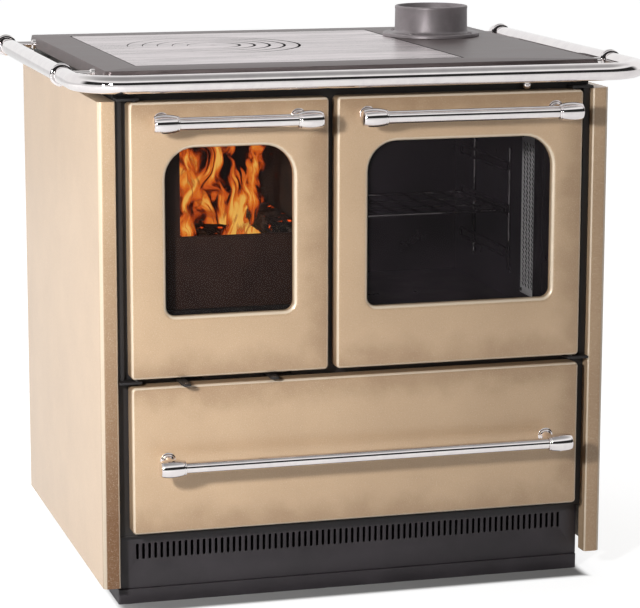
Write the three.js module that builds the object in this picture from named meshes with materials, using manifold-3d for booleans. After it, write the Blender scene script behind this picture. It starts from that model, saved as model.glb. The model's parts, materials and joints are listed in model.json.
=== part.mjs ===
// A free-standing wood cookstove: enamelled cabinet, glazed fire door and oven door, fuel drawer,
// slotted plinth, cast top with a ring hob, flue collar and a tubular rail round three sides.
// Units are millimetres. +X is to the right as one faces the stove, +Y is away from the viewer, +Z is up.
// While the pieces are made, y = 0 is the front face of the cabinet columns and z = 0 is the floor.
// At the end the whole group moves so that the origin is the middle of the bounding box's bottom.

import * as THREE from "three";
import { mergeVertices } from "three/addons/utils/BufferGeometryUtils.js";
import Module from "manifold-3d";

const wasm = await Module();
wasm.setup();

// ---------------------------------------------------------------- driving dimensions

const SEAT = 0.3; // gap between two pieces that touch
const PAST = 1; // how far a cutter runs past the face that it opens
const STEEL = 3; // inner sheet and plates

// cabinet
const CABINET_WIDTH = 844;
const CABINET_DEPTH = 680;
const HOB_TOP_Z = 860;
const SIDE_SHEET = 2.5;
const SIDE_BOTTOM_Z = 36;
const COLUMN_WIDTH = 28;
const COLUMN_OUTER_RADIUS = 8;
const COLUMN_INNER_RADIUS = 4;
const REAR_FLANGE = 22;

// vents in the back panel: two rows low down and two rows high up
const VENT_LENGTH = 70;
const VENT_HEIGHT = 6;
const VENT_PITCH = 100;
const VENTS_PER_SIDE = 3;
const VENT_ROW_PITCH = 20;
const VENT_MARGIN_LOW = 100;
const VENT_MARGIN_HIGH = 70;

// plinth
const BASE_SIDE_INSET = 30;
const BASE_FRONT_INSET = 34;
const BASE_REAR_INSET = 20;
const BASE_STEP_HEIGHT = 24;
const BASE_STEP_PROUD = 4;
const BASE_CORNER_RADIUS = 3;
const BASE_RAIL = 32;
const PLINTH_TOP_Z = 112;
const SLOT_PITCH = 10;
const SLOT_WIDTH = 4.5;
const SLOT_HEIGHT = 26;
const SLOT_TOP_MARGIN = 14;
const SLOT_END_MARGIN = 27;

// doors and drawer
const FRONT_PROUD = 8; // doors and drawer stand this far in front of the columns
const DOOR_THICK = 28;
const DOOR_REAR_GAP = 2;
const DOOR_COLUMN_GAP = 19;
const DOOR_TOP_DROP = 1.5;
const FIRE_DOOR_WIDTH = 322;
const DOOR_GAP = 13;
const DOOR_DRAWER_GAP = 12;
const DRAWER_HEIGHT = 239.5;
const DRAWER_PLINTH_GAP = 11.5;
const DOOR_CORNER_RADIUS = 7;
const DOOR_EDGE_DEPTH = 6; // the rounded edge of a pressed panel, front to back
const DOOR_EDGE_ROUND = 5; // and seen from the front

// windows
const FIRE_WINDOW_MARGIN = 57.5;
const OVEN_WINDOW_MARGIN = 52;
const WINDOW_TOP_MARGIN = 73;
const WINDOW_BOTTOM_MARGIN = 99;
const WINDOW_TOP_RADIUS = 48;
const WINDOW_BOTTOM_RADIUS = 15;
const WINDOW_FLARE = 8;
const WINDOW_FLARE_DEPTH = 6;
const GLASS_LAP = 19.5; // the glass runs this far behind the panel
const GLASS_PLAY = 0.5;
const GLASS_THICK = 5;
const POCKET_DEPTH = 16;
const INNER_FRAME_SETBACK = 6;
const GASKET_DIAMETER = 8;
const GASKET_MARGIN = 18;
const GASKET_SOFTNESS = 0.6; // how much of the rope's half width its rounded edges take
const GROOVE_PLAY = 0.5;

// front frame
const FRAME_THICK = 5;
const OPENING_MARGIN = 24;
const DRAWER_OPENING_LAP = 11;

// hinges
const HINGE_EDGE = 11; // hinge axis from the door's outer edge
const HINGE_DEPTH = 12; // hinge axis behind the door's front face
const PIN_RADIUS = 4;
const PIN_LENGTH = 14.7;
const PIN_BORE_SPARE = 0.3;
const PIN_SIDES = 12;
const HINGE_EAR = 4;
const HINGE_EAR_GAP_LOW = 3.5;
const HINGE_EAR_GAP_HIGH = 2;
const HINGE_EAR_LAP = 7; // the ear runs this far past the axis
const HINGE_BAR_WIDTH = 11;
const HINGE_BAR_THICK = 9.7;
const HINGE_COLUMN_GAP = 0.5;

// handles
const HANDLE_STANDOFF = 56;
const DOOR_HANDLE_DROP = 28;
const FIRE_HANDLE_MARGIN = 27;
const OVEN_HANDLE_MARGIN = 25;
const DOOR_HANDLE_RADIUS = 10;
const DRAWER_HANDLE_RADIUS = 9;
const DRAWER_HANDLE_MARGIN = 33;
const HANDLE_SIDES = 8;
const BARREL_RADIUS = 15;
const BARREL_TIP_RADIUS = 12.5;
const BARREL_MOUTH_RADIUS = 11.7;
const BARREL_LENGTH = 40;
const BARREL_WIDEST = 17; // the barrel's widest place from its tip
const BARREL_STEPS = 5;
const SOCKET_DEPTH = 28;
const POST_RADIUS = 8;
const POST_FROM_TIP = 24;
const POST_SINK = 4; // how far the post runs into the barrel
const POST_BASE_RADIUS = 12.5;
const POST_BASE_HEIGHT = 5;

// cast top
const TOP_THICK = 18;
const TOP_RECESS = 28; // dark band between the cabinet and the cast top
const TOP_SIDE_INSET = 17; // top edge of the cast frame inside the cabinet's side
const TOP_FRONT_INSET = 8;
const TOP_BACK_PROUD = 6;
const TOP_FLARE = 4;
const TOP_FLARE_HEIGHT = 16;
const TOP_CORNER_RADIUS = 4;
const HOB_THICK = 10;
const HOB_LEFT_BORDER = 63;
const HOB_RIGHT_BORDER = 206;
const HOB_FRONT_BORDER = 79;
const HOB_BACK_BORDER = 51;
const HOB_LEDGE = 10;
const HOB_CLEARANCE = 0.8;
const HOB_CORNER_RADIUS = 2;
const REBATE_CORNER_RADIUS = 3;
const RING_FROM_LEFT = 202; // ring centre from the hob plate's left edge
const RING_FROM_BACK = 230; // and from its back edge
const RING_OUTER_RADIUS = 147;
const RING_COUNT = 4;
const RING_STEP = 25.5;
const RING_LAP = 5;
const RING_GAP = 0.8;
const RING_SIDES = 24;
const HOOK_HOLE_RADIUS = 6;
const HOOK_HOLE_DEPTH = 4;

// flue
const FLUE_FROM_RIGHT = 124; // flue axis from the cast frame's right edge
const FLUE_FROM_BACK = 188;
const FLUE_RADIUS = 64.5;
const FLUE_WALL = 5;
const FLUE_HEIGHT = 53.5;
const FLUE_SIDES = 24;
const FLUE_LIP = 1.5;
const FLUE_FILLET = 4;
const FLANGE_RADIUS = 86;
const FLANGE_THICK = 6;
const FLANGE_CHAMFER = 2;

// rail
const RAIL_RADIUS = 14;
const RAIL_SIDES = 12;
const RAIL_BEND = 76;
const RAIL_BEND_STEPS = 5;
const RAIL_CAP_LENGTH = 12;
const RAIL_CAP_ROUND = 4;
const RAIL_SIDE_OFFSET = 55; // rail axis outside the cast frame's edge
const RAIL_FRONT_OFFSET = 86;
const RAIL_DROP = 12; // rail axis below the hob
const RAIL_REAR_SHORT = 36;
const COLLAR_WALL = 4.5;
const COLLAR_WIDTH = 14;
const COLLAR_CHAMFER = 1.5;
const COLLAR_FROM_FRONT = 88;
const COLLAR_FROM_BACK = 54;
const ARM_RADIUS = 6;
const ARM_SIDES = 8;
const ARM_FOOT_RADIUS = 8;
const ARM_FOOT_LENGTH = 5;
const ARM_FOOT_SIDES = 10;

// stove body, firebox and oven
const BODY_PLATE = 4;
const BODY_SIDE_GAP = 35; // cabinet side to the body's outer face
const BODY_REAR_GAP = 80; // cabinet back to the body's back
const BODY_FLOOR_DROP = 4.3; // body floor's underside below the fire opening
const INLET_WIDTH = 80;
const INLET_DEPTH = 18;
const INLET_SETBACK = 6;
const INLET_SHARES = [0.3, 0.7]; // places of the two air inlets across the firebox
const LINING_THICK = 28;
const BACK_LINING_THICK = 60;
const LINING_FRONT_GAP = 18;
const LINING_TOP_DROP = 42;
const RIGHT_LINING_DROP = 3;
const FIREBOX_SET_OUT = 1; // the boards stand this far outside the fire opening
const PAN_HEIGHT = 56;
const PAN_HEADROOM = 15;
const PAN_WALL = 2;
const PAN_SIDE_INSET = 26;
const PAN_FRONT_INSET = 32;
const PAN_BACK_INSET = 30;
const PAN_LIP_INSET = 50;
const PAN_LIP_REACH = 14;
const LEDGE_THICK = 6;
const LEDGE_LAP = 17;
const LEDGE_FRONT = 34;
const GRATE_THICK = 16;
const GRATE_FRONT_GAP = 10;
const GRATE_BORDER = 20;
const GRATE_ROWS = 3;
const GRATE_SLOTS = 9;
const GRATE_SLOT_SHARE = 0.56; // slot width as a share of the pitch
const GRATE_CROSSBAR = 16;
const GUARD_HEIGHT = 116;
const GUARD_THICK = 10;
const GUARD_UPRIGHT_WIDTH = 66;
const GUARD_TOP_GAP = 2;
const OVEN_WALL = 3;
const OVEN_SMOKE_GAP = 23;
const OVEN_TOP_DROP = 79;
const OVEN_REAR_GAP = 40;
const OVEN_FOOT = 20;

// oven furniture
const WIRE_SIDES = 4; // sides of a wire's section
const RACK_WIRE = 2.5;
const RACK_POST = 3;
const RACK_STUD = 2.4;
const RACK_STANDOFF = 1.2;
const WIRE_MERGE = 0.8; // how far two welded wires sink into each other
const RACK_LEVEL_PITCH = 75;
const RACK_PAIR_GAP = 15;
const RACK_LOWEST = 72;
const RACK_OVERHANG = 24;
const RACK_HEADROOM = 30;
const RACK_STUD_INSET = 8;
const RACK_FRONT_GAP = 222;
const RACK_REAR_GAP = 57;
const RACK_POST_FRONT = 9;
const RACK_POST_REAR = 60;
const SHELF_LEVEL = 1;
const SHELF_FRAME = 3;
const SHELF_WIRE = 2;
const SHELF_WIRES = 8;
const SHELF_SIDE_PLAY = 0.5;
const STRIP_FRONT_GAP = 76;
const STRIP_WIDTH = 98;
const STRIP_THICK = 3;
const STRIP_LOW_GAP = 20;
const STRIP_HIGH_GAP = 39;
const STRIP_BLANK = 38; // the plain stretch in front of the slots
const STRIP_BORDER = 8;
const STRIP_ROWS = 10;
const STRIP_SLOT_LENGTH = 18;
const STRIP_SLOT_HEIGHT = 5;

// controls
const BYPASS_FROM_RIGHT = 123;
const BYPASS_ABOVE_DOOR = 9;
const BYPASS_ROD_RADIUS = 3;
const BYPASS_ROD_SIDES = 8;
const BYPASS_HOLE_PLAY = 0.5;
const BYPASS_KNOB_RADIUS = 7.5;
const BYPASS_KNOB_NECK = 2;
const BYPASS_KNOB_STANDOFF = 14;
const BYPASS_PLATE_FROM_BACK = 172;
const BYPASS_PLATE_LEFT = 60;
const BYPASS_PLATE_RIGHT = 40;
const BYPASS_PLATE_DROP = 6;
const LEVER_WIDTH = 14;
const LEVER_THICK = 3.5;
const LEVER_TIP_RADIUS = 4;
const LEVER_TRAVEL = 30;
const LEVER_PLAY = 1.5;
const PRIMARY_LEVER = { fromLeft: 76, reach: 30 };
const SECONDARY_LEVER = { fromLeft: 223, reach: 14 };
const REGISTER_HEIGHT = 28;
const REGISTER_OVERHANG = 33;

// drawer
const DRAWER_SHEET = 2;
const DRAWER_SIDE_CLEAR = 45;
const DRAWER_RUNNING_GAP = 3;
const DRAWER_FLOOR_RISE = 14.5;
const DRAWER_BOX_DROP = 23;
const DRAWER_REAR_CLEAR = 7.7;
const DRAWER_LIP = 19.5;
const DRAWER_LIP_THICK = 3;
const DRAWER_LIP_RISE = 112;
const DRAWER_LIP_FRONT_GAP = 12;
const DRAWER_LIP_REAR_GAP = 4;
const FRONT_HOLLOW_DEPTH = 18;
const FRONT_HOLLOW_RIM = 12;
const FRONT_HOLLOW_BOX_GAP = 6;
const RUNNER_SHEET = 2.5;
const RUNNER_FOOT = 20;
const RUNNER_SIDE_GAP = 2;
const RUNNER_FRONT_GAP = 4;

// ---------------------------------------------------------------- derived places

const HALF_CABINET = CABINET_WIDTH / 2;
const TOP_UNDER_Z = HOB_TOP_Z - TOP_THICK;
const SIDE_TOP_Z = TOP_UNDER_Z - TOP_RECESS;
const FLOOR_PLATE_Z = PLINTH_TOP_Z + SEAT;
const FLOOR_TOP_Z = FLOOR_PLATE_Z + STEEL;
const DOOR_FRONT_Y = -FRONT_PROUD;
const DOOR_BACK_Y = DOOR_FRONT_Y + DOOR_THICK;
const FRAME_FRONT_Y = DOOR_BACK_Y + DOOR_REAR_GAP;
const FRAME_BACK_Y = FRAME_FRONT_Y + FRAME_THICK;
const BEHIND_FRAME_Y = FRAME_BACK_Y + SEAT;
const BACK_PANEL_Y = CABINET_DEPTH - SIDE_SHEET - SEAT - STEEL;
const HALF_FRAME = HALF_CABINET - COLUMN_WIDTH - SEAT;
const FRAME_TOP_Z = TOP_UNDER_Z - SEAT;

const DRAWER_BOTTOM_Z = PLINTH_TOP_Z + DRAWER_PLINTH_GAP;
const DRAWER_TOP_Z = DRAWER_BOTTOM_Z + DRAWER_HEIGHT;
const DOOR_BOTTOM_Z = DRAWER_TOP_Z + DOOR_DRAWER_GAP;
const DOOR_TOP_Z = SIDE_TOP_Z - DOOR_TOP_DROP;
const HALF_FIELD = HALF_CABINET - COLUMN_WIDTH - DOOR_COLUMN_GAP;
const FIRE_DOOR = { left: -HALF_FIELD, right: -HALF_FIELD + FIRE_DOOR_WIDTH };
const OVEN_DOOR = { left: FIRE_DOOR.right + DOOR_GAP, right: HALF_FIELD };

const FIRE_OPENING = {
  left: FIRE_DOOR.left + OPENING_MARGIN,
  right: FIRE_DOOR.right - OPENING_MARGIN,
  bottom: DOOR_BOTTOM_Z + OPENING_MARGIN,
  top: DOOR_TOP_Z - OPENING_MARGIN,
};
const FIREBOX = {
  left: FIRE_OPENING.left - FIREBOX_SET_OUT,
  right: FIRE_OPENING.right + FIREBOX_SET_OUT,
};
const BODY_OUTER_X = HALF_CABINET - BODY_SIDE_GAP;
const BODY_INNER_X = BODY_OUTER_X - BODY_PLATE;
const BODY_BACK_Y = CABINET_DEPTH - BODY_REAR_GAP;
const BODY_FLOOR_Z = FIRE_OPENING.bottom - BODY_FLOOR_DROP;
const BODY_FLOOR_TOP_Z = BODY_FLOOR_Z + BODY_PLATE;
const PARTITION_X = FIRE_OPENING.right + LINING_THICK + SEAT;
const LEDGE_Z = BODY_FLOOR_TOP_Z + SEAT + PAN_HEIGHT + PAN_HEADROOM;
const LEDGE_TOP_Z = LEDGE_Z + LEDGE_THICK;
const LINING_BOTTOM_Z = LEDGE_TOP_Z + SEAT;
const LINING_FRONT_Y = BEHIND_FRAME_Y - SEAT + LINING_FRONT_GAP;
const LINING_BACK_Y = BODY_BACK_Y - BACK_LINING_THICK;
const OVEN_TOP_Z = TOP_UNDER_Z - OVEN_TOP_DROP;
const OVEN = {
  left: OVEN_DOOR.left + OPENING_MARGIN,
  right: OVEN_DOOR.right - OPENING_MARGIN,
  bottom: BODY_FLOOR_TOP_Z + OVEN_SMOKE_GAP + OVEN_WALL,
  top: OVEN_TOP_Z - OVEN_WALL,
  back: BODY_BACK_Y - OVEN_REAR_GAP - OVEN_WALL,
};
const RACK_FRONT_Y = FRAME_BACK_Y + RACK_FRONT_GAP + SEAT;
const RACK_REAR_Y = OVEN.back - RACK_REAR_GAP;
const RACK_SPARE = OVEN.top - OVEN.bottom - RACK_LOWEST - RACK_PAIR_GAP - RACK_OVERHANG - RACK_HEADROOM;
const RACK_LEVELS = Math.floor(RACK_SPARE / RACK_LEVEL_PITCH) + 1;

const TOP = {
  left: -HALF_CABINET + TOP_SIDE_INSET,
  right: HALF_CABINET - TOP_SIDE_INSET,
  front: TOP_FRONT_INSET,
  back: CABINET_DEPTH + TOP_BACK_PROUD,
};
const HOB = {
  left: TOP.left + HOB_LEFT_BORDER,
  right: TOP.right - HOB_RIGHT_BORDER,
  front: TOP.front + HOB_FRONT_BORDER,
  back: TOP.back - HOB_BACK_BORDER,
};
const HOB_UNDER_Z = HOB_TOP_Z - HOB_THICK;
const STEP_Z = HOB_UNDER_Z + HOB_THICK / 2;
const RING_X = HOB.left + RING_FROM_LEFT;
const RING_Y = HOB.back - RING_FROM_BACK;
const FLUE_X = TOP.right - FLUE_FROM_RIGHT;
const FLUE_Y = TOP.back - FLUE_FROM_BACK;
const FLUE_BORE = FLUE_RADIUS - FLUE_WALL;
const RAIL_X = TOP.right + RAIL_SIDE_OFFSET;
const RAIL_Y = TOP.front - RAIL_FRONT_OFFSET;
const RAIL_Z = HOB_TOP_Z - RAIL_DROP;
const RAIL_REAR_Y = TOP.back - RAIL_REAR_SHORT;

const BYPASS_X = TOP.right - BYPASS_FROM_RIGHT;
const BYPASS_Z = DOOR_TOP_Z + BYPASS_ABOVE_DOOR;
const BYPASS_PLATE_Y = BODY_BACK_Y - BYPASS_PLATE_FROM_BACK;
const LEVER_Z = DRAWER_TOP_Z + (DOOR_DRAWER_GAP - LEVER_THICK) / 2;

const HANDLE_Y = DOOR_FRONT_Y - HANDLE_STANDOFF;
const DOOR_HANDLE_Z = DOOR_TOP_Z - DOOR_HANDLE_DROP;
const DRAWER_HANDLE_Z = (DRAWER_BOTTOM_Z + DRAWER_TOP_Z) / 2;

const DRAWER_OPENING_HALF = HALF_CABINET - COLUMN_WIDTH - DRAWER_SIDE_CLEAR + DRAWER_RUNNING_GAP;
const DRAWER_BOX_HALF = DRAWER_OPENING_HALF - DRAWER_RUNNING_GAP - DRAWER_LIP;
const DRAWER_BACK_Y = BODY_BACK_Y - BODY_PLATE - DRAWER_REAR_CLEAR;
const DRAWER_LIP_Z = DRAWER_BOTTOM_Z + DRAWER_FLOOR_RISE + DRAWER_LIP_RISE;

const DEPTH_FRONT = RAIL_Y - RAIL_RADIUS;
const DEPTH_BACK = TOP.back + TOP_FLARE;

// ---------------------------------------------------------------- materials

function paint(color, roughness, metalness) {
  return { color, roughness, metalness };
}

const ENAMEL = paint(0xc4a67f, 0.38, 0.35);
const CHARCOAL = paint(0x363437, 0.6, 0.2);
const BLACK_STEEL = paint(0x1c1a1b, 0.65, 0.3);
const CAST_IRON = paint(0x6a6565, 0.5, 0.55);
const BRUSHED_HOB = paint(0xb9b5b1, 0.35, 0.85);
const FLUE_IRON = paint(0x55585c, 0.45, 0.5);
const CHROME = paint(0xdcdcdc, 0.08, 1);
const OVEN_ENAMEL = paint(0x2a2727, 0.35, 0.2);
const WIRE = paint(0x9a9a9c, 0.25, 1);
const GLASS = paint(0x1e1b1e, 0.05, 0);
const REFRACTORY = paint(0x6d5c4c, 0.9, 0);
const ROPE = paint(0x4a4744, 0.95, 0);
const GALVANISED = paint(0x8d9092, 0.5, 0.7);

// ---------------------------------------------------------------- solid helpers

const AXIS_TO_Y = new THREE.Matrix4().makeBasis(
  new THREE.Vector3(1, 0, 0),
  new THREE.Vector3(0, 0, 1),
  new THREE.Vector3(0, -1, 0),
);

function signedVolume(position, index) {
  let sum = 0;
  const [a, b, c] = [new THREE.Vector3(), new THREE.Vector3(), new THREE.Vector3()];
  for (let i = 0; i < index.length; i += 3) {
    a.fromArray(position, 3 * index[i]);
    b.fromArray(position, 3 * index[i + 1]);
    c.fromArray(position, 3 * index[i + 2]);
    sum += a.dot(b.cross(c));
  }
  return sum / 6;
}

// A closed BufferGeometry as a manifold solid, turned outwards where its profile ran backwards.
function solid(geometry) {
  const bare = new THREE.BufferGeometry();
  bare.setAttribute("position", geometry.getAttribute("position"));
  if (geometry.index) bare.setIndex(geometry.index);
  const merged = mergeVertices(bare, 1e-4);
  const position = new Float32Array(merged.attributes.position.array);
  const triVerts = new Uint32Array(merged.index.array);
  if (signedVolume(position, triVerts) < 0) {
    for (let i = 0; i < triVerts.length; i += 3) {
      const swap = triVerts[i + 1];
      triVerts[i + 1] = triVerts[i + 2];
      triVerts[i + 2] = swap;
    }
  }
  return new wasm.Manifold(new wasm.Mesh({ numProp: 3, vertProperties: position, triVerts }));
}

function geometryOf(manifold) {
  const mesh = manifold.getMesh();
  const geometry = new THREE.BufferGeometry();
  geometry.setAttribute("position", new THREE.BufferAttribute(new Float32Array(mesh.vertProperties), 3));
  geometry.setIndex(new THREE.BufferAttribute(new Uint32Array(mesh.triVerts), 1));
  geometry.computeVertexNormals();
  return geometry;
}

function join(...pieces) {
  return pieces.flat().reduce((whole, piece) => whole.add(piece));
}

function cut(whole, ...cutters) {
  return cutters.flat().reduce((left, cutter) => left.subtract(cutter), whole);
}

// A box between two faces on each axis; each pair may come in either order.
function block(xa, xb, ya, yb, za, zb) {
  const geometry = new THREE.BoxGeometry(Math.abs(xb - xa), Math.abs(yb - ya), Math.abs(zb - za));
  geometry.translate((xa + xb) / 2, (ya + yb) / 2, (za + zb) / 2);
  return solid(geometry);
}

function extruded(shape, depth, options) {
  const bevel = options.bevelEnabled ? options.bevelThickness : 0;
  return new THREE.ExtrudeGeometry(shape, {
    depth: depth - 2 * bevel,
    bevelEnabled: false,
    curveSegments: 3,
    ...options,
  }).translate(0, 0, bevel);
}

// A shape in the X-Y plane, pulled up from z0 to z1.
function pullZ(shape, z0, z1, options = {}) {
  return solid(extruded(shape, z1 - z0, options).translate(0, 0, z0));
}

// A shape in the X-Z plane, pulled back from y0 to y1.
function pullY(shape, y0, y1, options = {}) {
  return solid(extruded(shape, y1 - y0, options).applyMatrix4(AXIS_TO_Y).translate(0, y1, 0));
}

// A rod between two points.
function rod(from, to, radius, sides = WIRE_SIDES) {
  const start = new THREE.Vector3(...from);
  const end = new THREE.Vector3(...to);
  const geometry = new THREE.CylinderGeometry(radius, radius, start.distanceTo(end), sides);
  const direction = end.clone().sub(start).normalize();
  geometry.applyQuaternion(new THREE.Quaternion().setFromUnitVectors(new THREE.Vector3(0, 1, 0), direction));
  geometry.translate(...start.add(end).multiplyScalar(0.5).toArray());
  return solid(geometry);
}

function rodX(x0, x1, y, z, radius, sides) {
  return rod([x0, y, z], [x1, y, z], radius, sides);
}

function rodY(x, y0, y1, z, radius, sides) {
  return rod([x, y0, z], [x, y1, z], radius, sides);
}

function rodZ(x, y, z0, z1, radius, sides) {
  return rod([x, y, z0], [x, y, z1], radius, sides);
}

function lathe(profile, sides) {
  const points = profile.map(([radius, height]) => new THREE.Vector2(radius, height));
  return new THREE.LatheGeometry(points, sides);
}

// A profile of [radius, height] pairs turned about a vertical axis through (x, y).
function turned(profile, x, y, sides) {
  return solid(lathe(profile, sides).rotateX(Math.PI / 2).translate(x, y, 0));
}

// The same profile turned about an axis along X; direction +1 or -1 says which way its height runs.
function turnedAlongX(profile, x, y, z, direction, sides) {
  return solid(lathe(profile, sides).rotateZ((-direction * Math.PI) / 2).translate(x, y, z));
}

// The same profile turned about an axis along Y, its height running to the front.
function turnedAlongY(profile, x, y, z, sides) {
  return solid(lathe(profile, sides).rotateX(Math.PI).translate(x, y, z));
}

// A rectangle with its own radius at the two low and the two high corners.
function roundedRect(x0, x1, y0, y1, lowRadius, highRadius = lowRadius) {
  const outline = new THREE.Shape();
  outline.moveTo(x0 + lowRadius, y0);
  outline.lineTo(x1 - lowRadius, y0);
  outline.absarc(x1 - lowRadius, y0 + lowRadius, lowRadius, -Math.PI / 2, 0);
  outline.lineTo(x1, y1 - highRadius);
  outline.absarc(x1 - highRadius, y1 - highRadius, highRadius, 0, Math.PI / 2);
  outline.lineTo(x0 + highRadius, y1);
  outline.absarc(x0 + highRadius, y1 - highRadius, highRadius, Math.PI / 2, Math.PI);
  outline.lineTo(x0, y0 + lowRadius);
  outline.absarc(x0 + lowRadius, y0 + lowRadius, lowRadius, Math.PI, 1.5 * Math.PI);
  return outline;
}

function polygon(points) {
  return new THREE.Shape(points.map(([x, y]) => new THREE.Vector2(x, y)));
}

function range(count) {
  return Array.from({ length: count }, (unused, i) => i);
}

// Points on an arc, from one angle to another.
function arcPoints(cx, cy, radius, from, until, steps) {
  return range(steps + 1).map((i) => {
    const angle = from + ((until - from) * i) / steps;
    return [cx + radius * Math.cos(angle), cy + radius * Math.sin(angle)];
  });
}

const stove = new THREE.Group();

function add(name, manifold, look) {
  const mesh = new THREE.Mesh(geometryOf(manifold), new THREE.MeshStandardMaterial(look));
  mesh.name = name;
  stove.add(mesh);
}

// ---------------------------------------------------------------- base and plinth

function makeBase() {
  const half = HALF_CABINET - BASE_SIDE_INSET;
  const front = BASE_FRONT_INSET;
  const back = CABINET_DEPTH - BASE_REAR_INSET;
  const innerHalf = half - BASE_RAIL;
  const outline = roundedRect(-half, half, front - BASE_STEP_PROUD, back, BASE_CORNER_RADIUS);
  const above = BASE_STEP_HEIGHT + PAST;
  const hollow = block(-innerHalf, innerHalf, front + BASE_RAIL, back - BASE_RAIL, -PAST, above);
  const ring = cut(pullZ(outline, 0, BASE_STEP_HEIGHT), hollow);

  // three sheet walls stand on the ring; the slotted panel closes the fourth side
  const wallFront = front + STEEL + SEAT;
  const walls = cut(
    block(-half, half, wallFront, back, BASE_STEP_HEIGHT - PAST, PLINTH_TOP_Z),
    block(-half + STEEL, half - STEEL, wallFront - PAST, back - STEEL, 0, PLINTH_TOP_Z + PAST),
  );
  add("base_frame", join(ring, walls), CHARCOAL);

  const slotTop = PLINTH_TOP_Z - SLOT_TOP_MARGIN;
  const span = 2 * (half - SLOT_END_MARGIN) - SLOT_WIDTH;
  const count = Math.floor(span / SLOT_PITCH) + 1;
  const slots = range(count).map((i) => {
    const left = (i - (count - 1) / 2) * SLOT_PITCH - SLOT_WIDTH / 2;
    return block(left, left + SLOT_WIDTH, front - PAST, front + STEEL + PAST, slotTop - SLOT_HEIGHT, slotTop);
  });
  const panel = block(-half, half, front, front + STEEL, BASE_STEP_HEIGHT + SEAT, PLINTH_TOP_Z);
  add("plinth_grille", cut(panel, slots), CHARCOAL);

  const plateBack = BACK_PANEL_Y - SEAT;
  const plate = block(-HALF_FRAME, HALF_FRAME, FRAME_FRONT_Y, plateBack, FLOOR_PLATE_Z, FLOOR_TOP_Z);
  add("floor_plate", plate, BLACK_STEEL);
}

// ---------------------------------------------------------------- cabinet

// A side panel is one sheet: side wall, rounded front column, inner return, rear flange and a top flange.
// Its section is worked out for the left side; the right side is its mirror image.
function makeSidePanel(name, side) {
  const t = SIDE_SHEET;
  const ro = COLUMN_OUTER_RADIUS;
  const ri = COLUMN_INNER_RADIUS;
  const left = -HALF_CABINET;
  const column = left + COLUMN_WIDTH;
  const returnEnd = FRAME_BACK_Y - 1;
  const outerFace = [
    ...arcPoints(left + ro, ro, ro, Math.PI, 1.5 * Math.PI, 4),
    ...arcPoints(column - ri, ri, ri, -Math.PI / 2, 0, 3),
  ];
  const section = [
    [left + REAR_FLANGE, CABINET_DEPTH - t],
    [left + REAR_FLANGE, CABINET_DEPTH],
    [left, CABINET_DEPTH],
    ...outerFace,
    [column, returnEnd],
    [column - t, returnEnd],
    ...arcPoints(column - ri, ri, ri - t, 0, -Math.PI / 2, 3),
    ...arcPoints(left + ro, ro, ro - t, 1.5 * Math.PI, Math.PI, 4),
    [left + t, CABINET_DEPTH - t],
  ];
  const lidBack = BACK_PANEL_Y - SEAT;
  const lid = [[column, lidBack], [left, lidBack], ...outerFace];
  const place = (points) => polygon(points.map(([x, y]) => [-side * x, y]));
  const wall = pullZ(place(section), SIDE_BOTTOM_Z, SIDE_TOP_Z);
  add(name, join(wall, pullZ(place(lid), SIDE_TOP_Z - t, SIDE_TOP_Z)), ENAMEL);
}

function makeBackPanel() {
  const half = HALF_CABINET - SIDE_SHEET - SEAT;
  const back = BACK_PANEL_Y + STEEL;
  const lowRow = SIDE_BOTTOM_Z + VENT_MARGIN_LOW;
  const highRow = SIDE_TOP_Z - VENT_MARGIN_HIGH;
  const slots = [];
  for (const z of [lowRow, lowRow + VENT_ROW_PITCH, highRow - VENT_ROW_PITCH, highRow]) {
    for (const i of range(2 * VENTS_PER_SIDE)) {
      const column = i < VENTS_PER_SIDE ? i - VENTS_PER_SIDE : i - VENTS_PER_SIDE + 1;
      const x = column * VENT_PITCH - VENT_LENGTH / 2;
      slots.push(block(x, x + VENT_LENGTH, BACK_PANEL_Y - PAST, back + PAST, z, z + VENT_HEIGHT));
    }
  }
  const panel = block(-half, half, BACK_PANEL_Y, back, SIDE_BOTTOM_Z, FRAME_TOP_Z);
  add("back_panel", cut(panel, slots), GALVANISED);
}

// The pierced plate behind the doors and the drawer.
function makeFrontFrame() {
  const y0 = FRAME_FRONT_Y - PAST;
  const y1 = FRAME_BACK_Y + PAST;
  const plate = block(-HALF_FRAME, HALF_FRAME, FRAME_FRONT_Y, FRAME_BACK_Y, FLOOR_TOP_Z + SEAT, FRAME_TOP_Z);
  const drawerLow = DRAWER_BOTTOM_Z + DRAWER_OPENING_LAP;
  const drawerHigh = DRAWER_TOP_Z - DRAWER_OPENING_LAP;
  const openings = [
    block(FIRE_OPENING.left, FIRE_OPENING.right, y0, y1, FIRE_OPENING.bottom, FIRE_OPENING.top),
    block(OVEN.left, OVEN.right, y0, y1, OVEN.bottom, OVEN.top),
    block(-DRAWER_OPENING_HALF, DRAWER_OPENING_HALF, y0, y1, drawerLow, drawerHigh),
    rodY(BYPASS_X, y0, y1, BYPASS_Z, BYPASS_ROD_RADIUS + BYPASS_HOLE_PLAY, PIN_SIDES),
  ];
  for (const lever of [PRIMARY_LEVER, SECONDARY_LEVER]) {
    const left = leverX(lever) - LEVER_WIDTH / 2 - LEVER_PLAY;
    const right = left + LEVER_WIDTH + LEVER_TRAVEL + 2 * LEVER_PLAY;
    openings.push(block(left, right, y0, y1, LEVER_Z - LEVER_PLAY, LEVER_Z + LEVER_THICK + LEVER_PLAY));
  }
  add("front_frame", cut(plate, openings), BLACK_STEEL);
}

// ---------------------------------------------------------------- stove body, firebox and oven

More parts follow.
